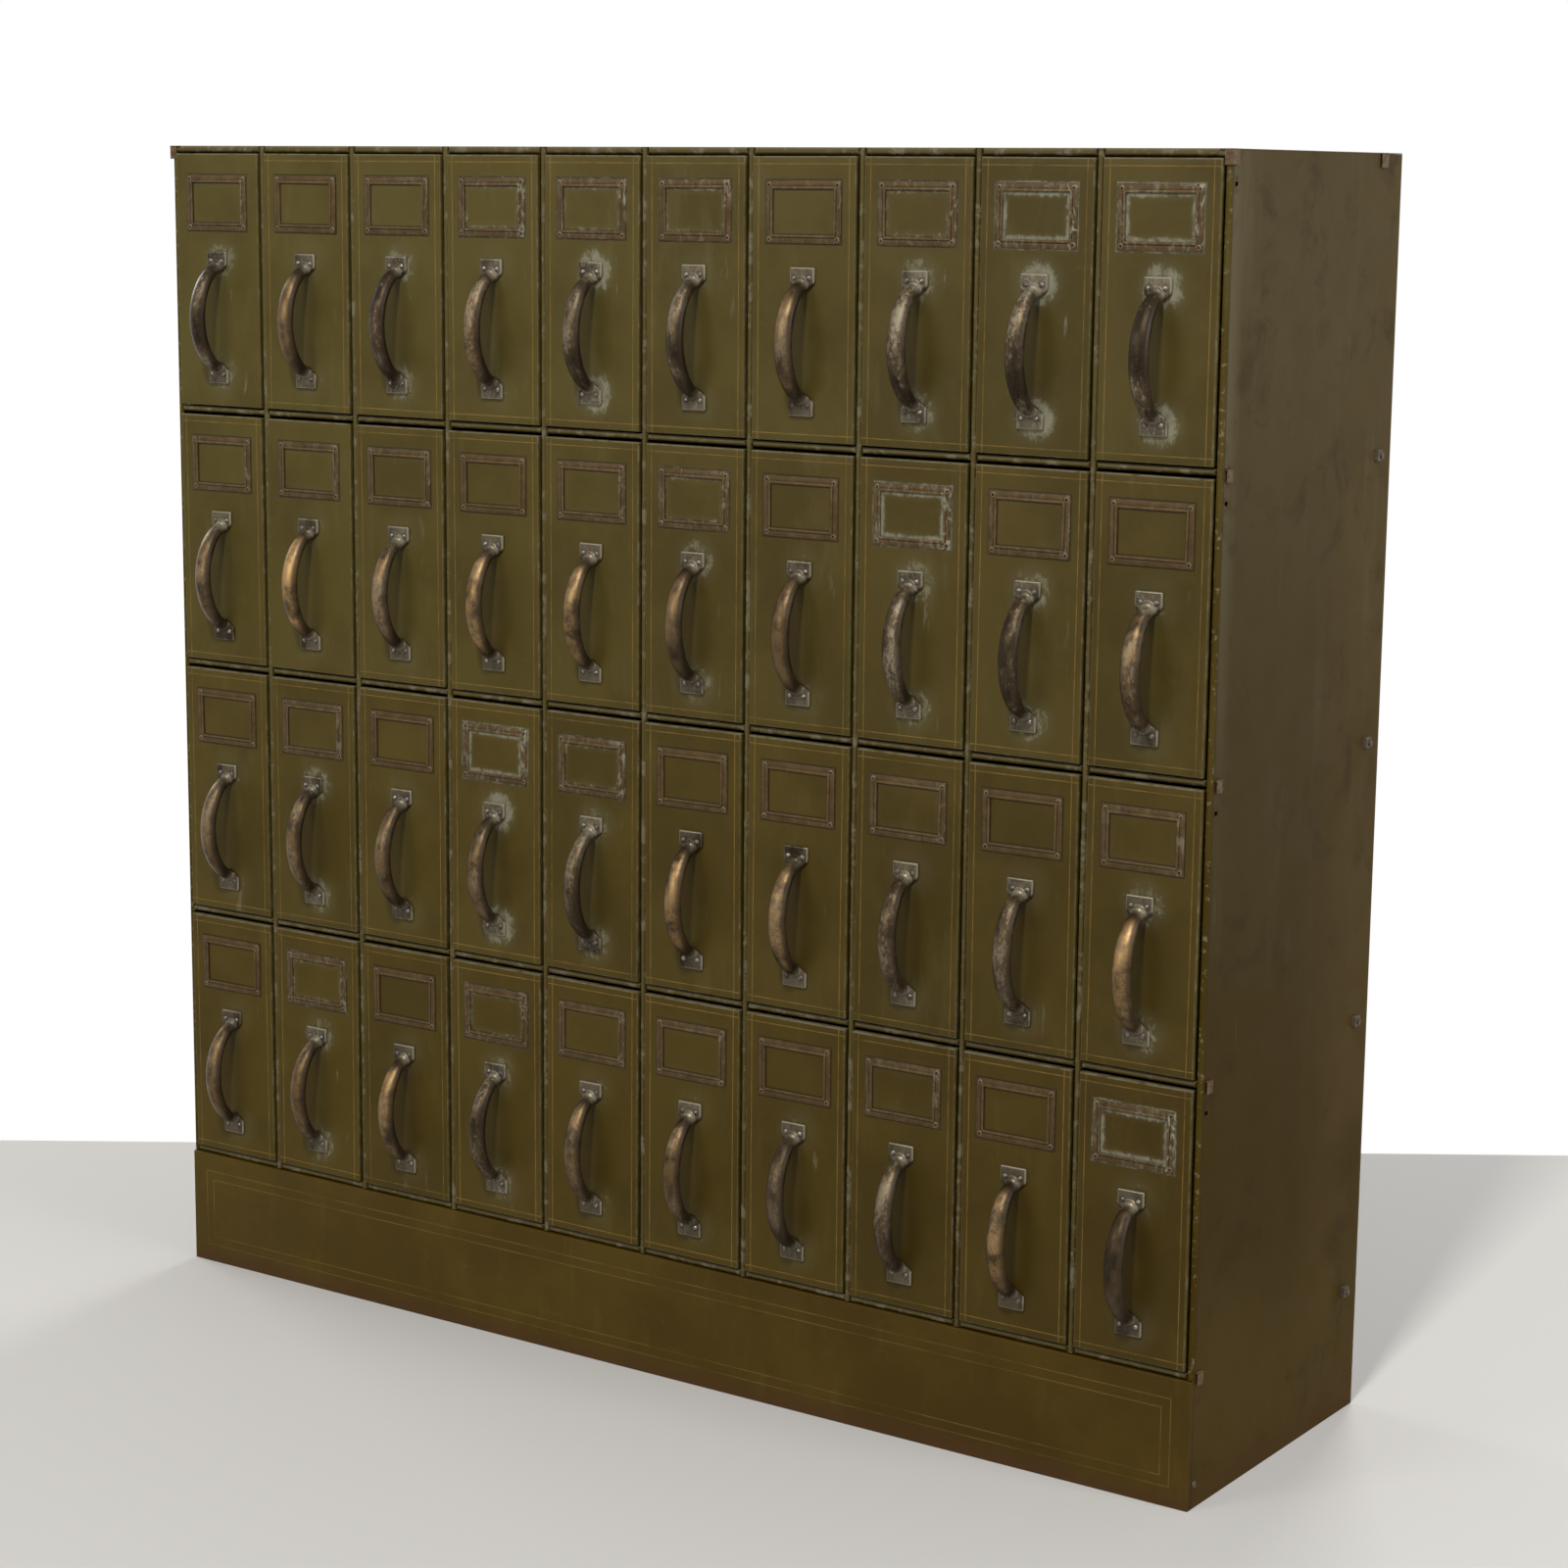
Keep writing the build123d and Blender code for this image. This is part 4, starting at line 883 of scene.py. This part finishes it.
# ---- stage ----
def stage():
    """A pale floor, soft lamps and a white background."""
    away = Vector((-sin(CAMERA_YAW), cos(CAMERA_YAW), 0))
    middle = Vector((CAMERA_PLACE[0], CAMERA_PLACE[1], 0)) + away * (FLOOR_END - FLOOR_SIZE / 2)
    bpy.ops.mesh.primitive_plane_add(size=FLOOR_SIZE, location=middle, rotation=(0, 0, CAMERA_YAW))
    floor = bpy.context.object
    floor.name = "floor"
    material = bpy.data.materials.new("floor")
    material.use_nodes = True
    shader = material.node_tree.nodes["Principled BSDF"]
    shader.inputs["Base Color"].default_value = (*FLOOR_COLOUR, 1)
    shader.inputs["Roughness"].default_value = FLOOR_ROUGHNESS
    shader.inputs["Specular IOR Level"].default_value = FLOOR_SPECULAR
    floor.data.materials.append(material)
    for settings in LAMPS:
        lamp(*settings)
    world = bpy.data.worlds.new("world")
    bpy.context.scene.world = world
    world.use_nodes = True
    nodes, links = world.node_tree.nodes, world.node_tree.links
    background = nodes["Background"]
    background.inputs["Color"].default_value = (1, 1, 1, 1)
    rays = nodes.new("ShaderNodeLightPath")
    seen = nodes.new("ShaderNodeMath")
    seen.operation = "ADD"
    seen.use_clamp = True
    glossy = nodes.new("ShaderNodeMath")
    glossy.operation = "MAXIMUM"
    links.new(rays.outputs["Is Glossy Ray"], glossy.inputs[0])
    links.new(rays.outputs["Is Transmission Ray"], glossy.inputs[1])
    links.new(rays.outputs["Is Camera Ray"], seen.inputs[0])
    links.new(glossy.outputs[0], seen.inputs[1])
    strength = nodes.new("ShaderNodeMapRange")
    links.new(seen.outputs[0], strength.inputs["Value"])
    strength.inputs["To Min"].default_value = WORLD_LIGHT
    strength.inputs["To Max"].default_value = WORLD_SEEN
    links.new(strength.outputs[0], background.inputs["Strength"])
    bpy.context.scene.view_settings.view_transform = "Standard"


def lamp(name, place, target, size, power):
    """A soft square lamp that faces a point."""
    data = bpy.data.lights.new(name, "AREA")
    data.shape = "SQUARE"
    data.size = size
    data.energy = power
    holder = bpy.data.objects.new(name, data)
    bpy.context.scene.collection.objects.link(holder)
    holder.location = place
    holder.rotation_euler = (Vector(target) - Vector(place)).to_track_quat("-Z", "Y").to_euler()


def camera():
    """The camera that took the photograph."""
    data = bpy.data.cameras.new("camera")
    data.lens, data.sensor_width = CAMERA_LENS, CAMERA_SENSOR
    holder = bpy.data.objects.new("camera", data)
    bpy.context.scene.collection.objects.link(holder)
    turn = Matrix.Rotation(CAMERA_YAW, 4, "Z") @ Matrix.Rotation(pi / 2 + CAMERA_PITCH, 4, "X")
    holder.matrix_world = Matrix.Translation(CAMERA_PLACE) @ turn @ Matrix.Rotation(CAMERA_ROLL, 4, "Z")
    bpy.context.scene.camera = holder


def main():
    paints = {"drawer": drawer_paint(), "case": case_paint(), "rail": rail_paint(),
              "plinth": plinth_paint(), "tray": tray_paint(), "bronze": bronze(), "copper": copper(),
              "screw": steel("screw_steel", STEEL, STEEL_DARK, 0.28),
              "pin": steel("pin_steel", COPPER, BLACK, 0.35),
              "collar": steel("collar_steel", DUST_AND_HIGHLIGHT, COPPER_PALE, 0.35, 0.3),
              "nut": steel("nut_steel", NUT, STEEL_DARK, 0.45, 0.3)}
    meshes = {"front": front_mesh(), "tray": tray_mesh(), "holder": holder_mesh(), "handle": handle_mesh()}
    chance = random.Random(11)
    for row in range(1, ROWS + 1):
        for column in range(1, COLUMNS + 1):
            dress_drawer(row, column, meshes, paints, chance)
    dress_case(paints)
    stage()
    camera()


main()
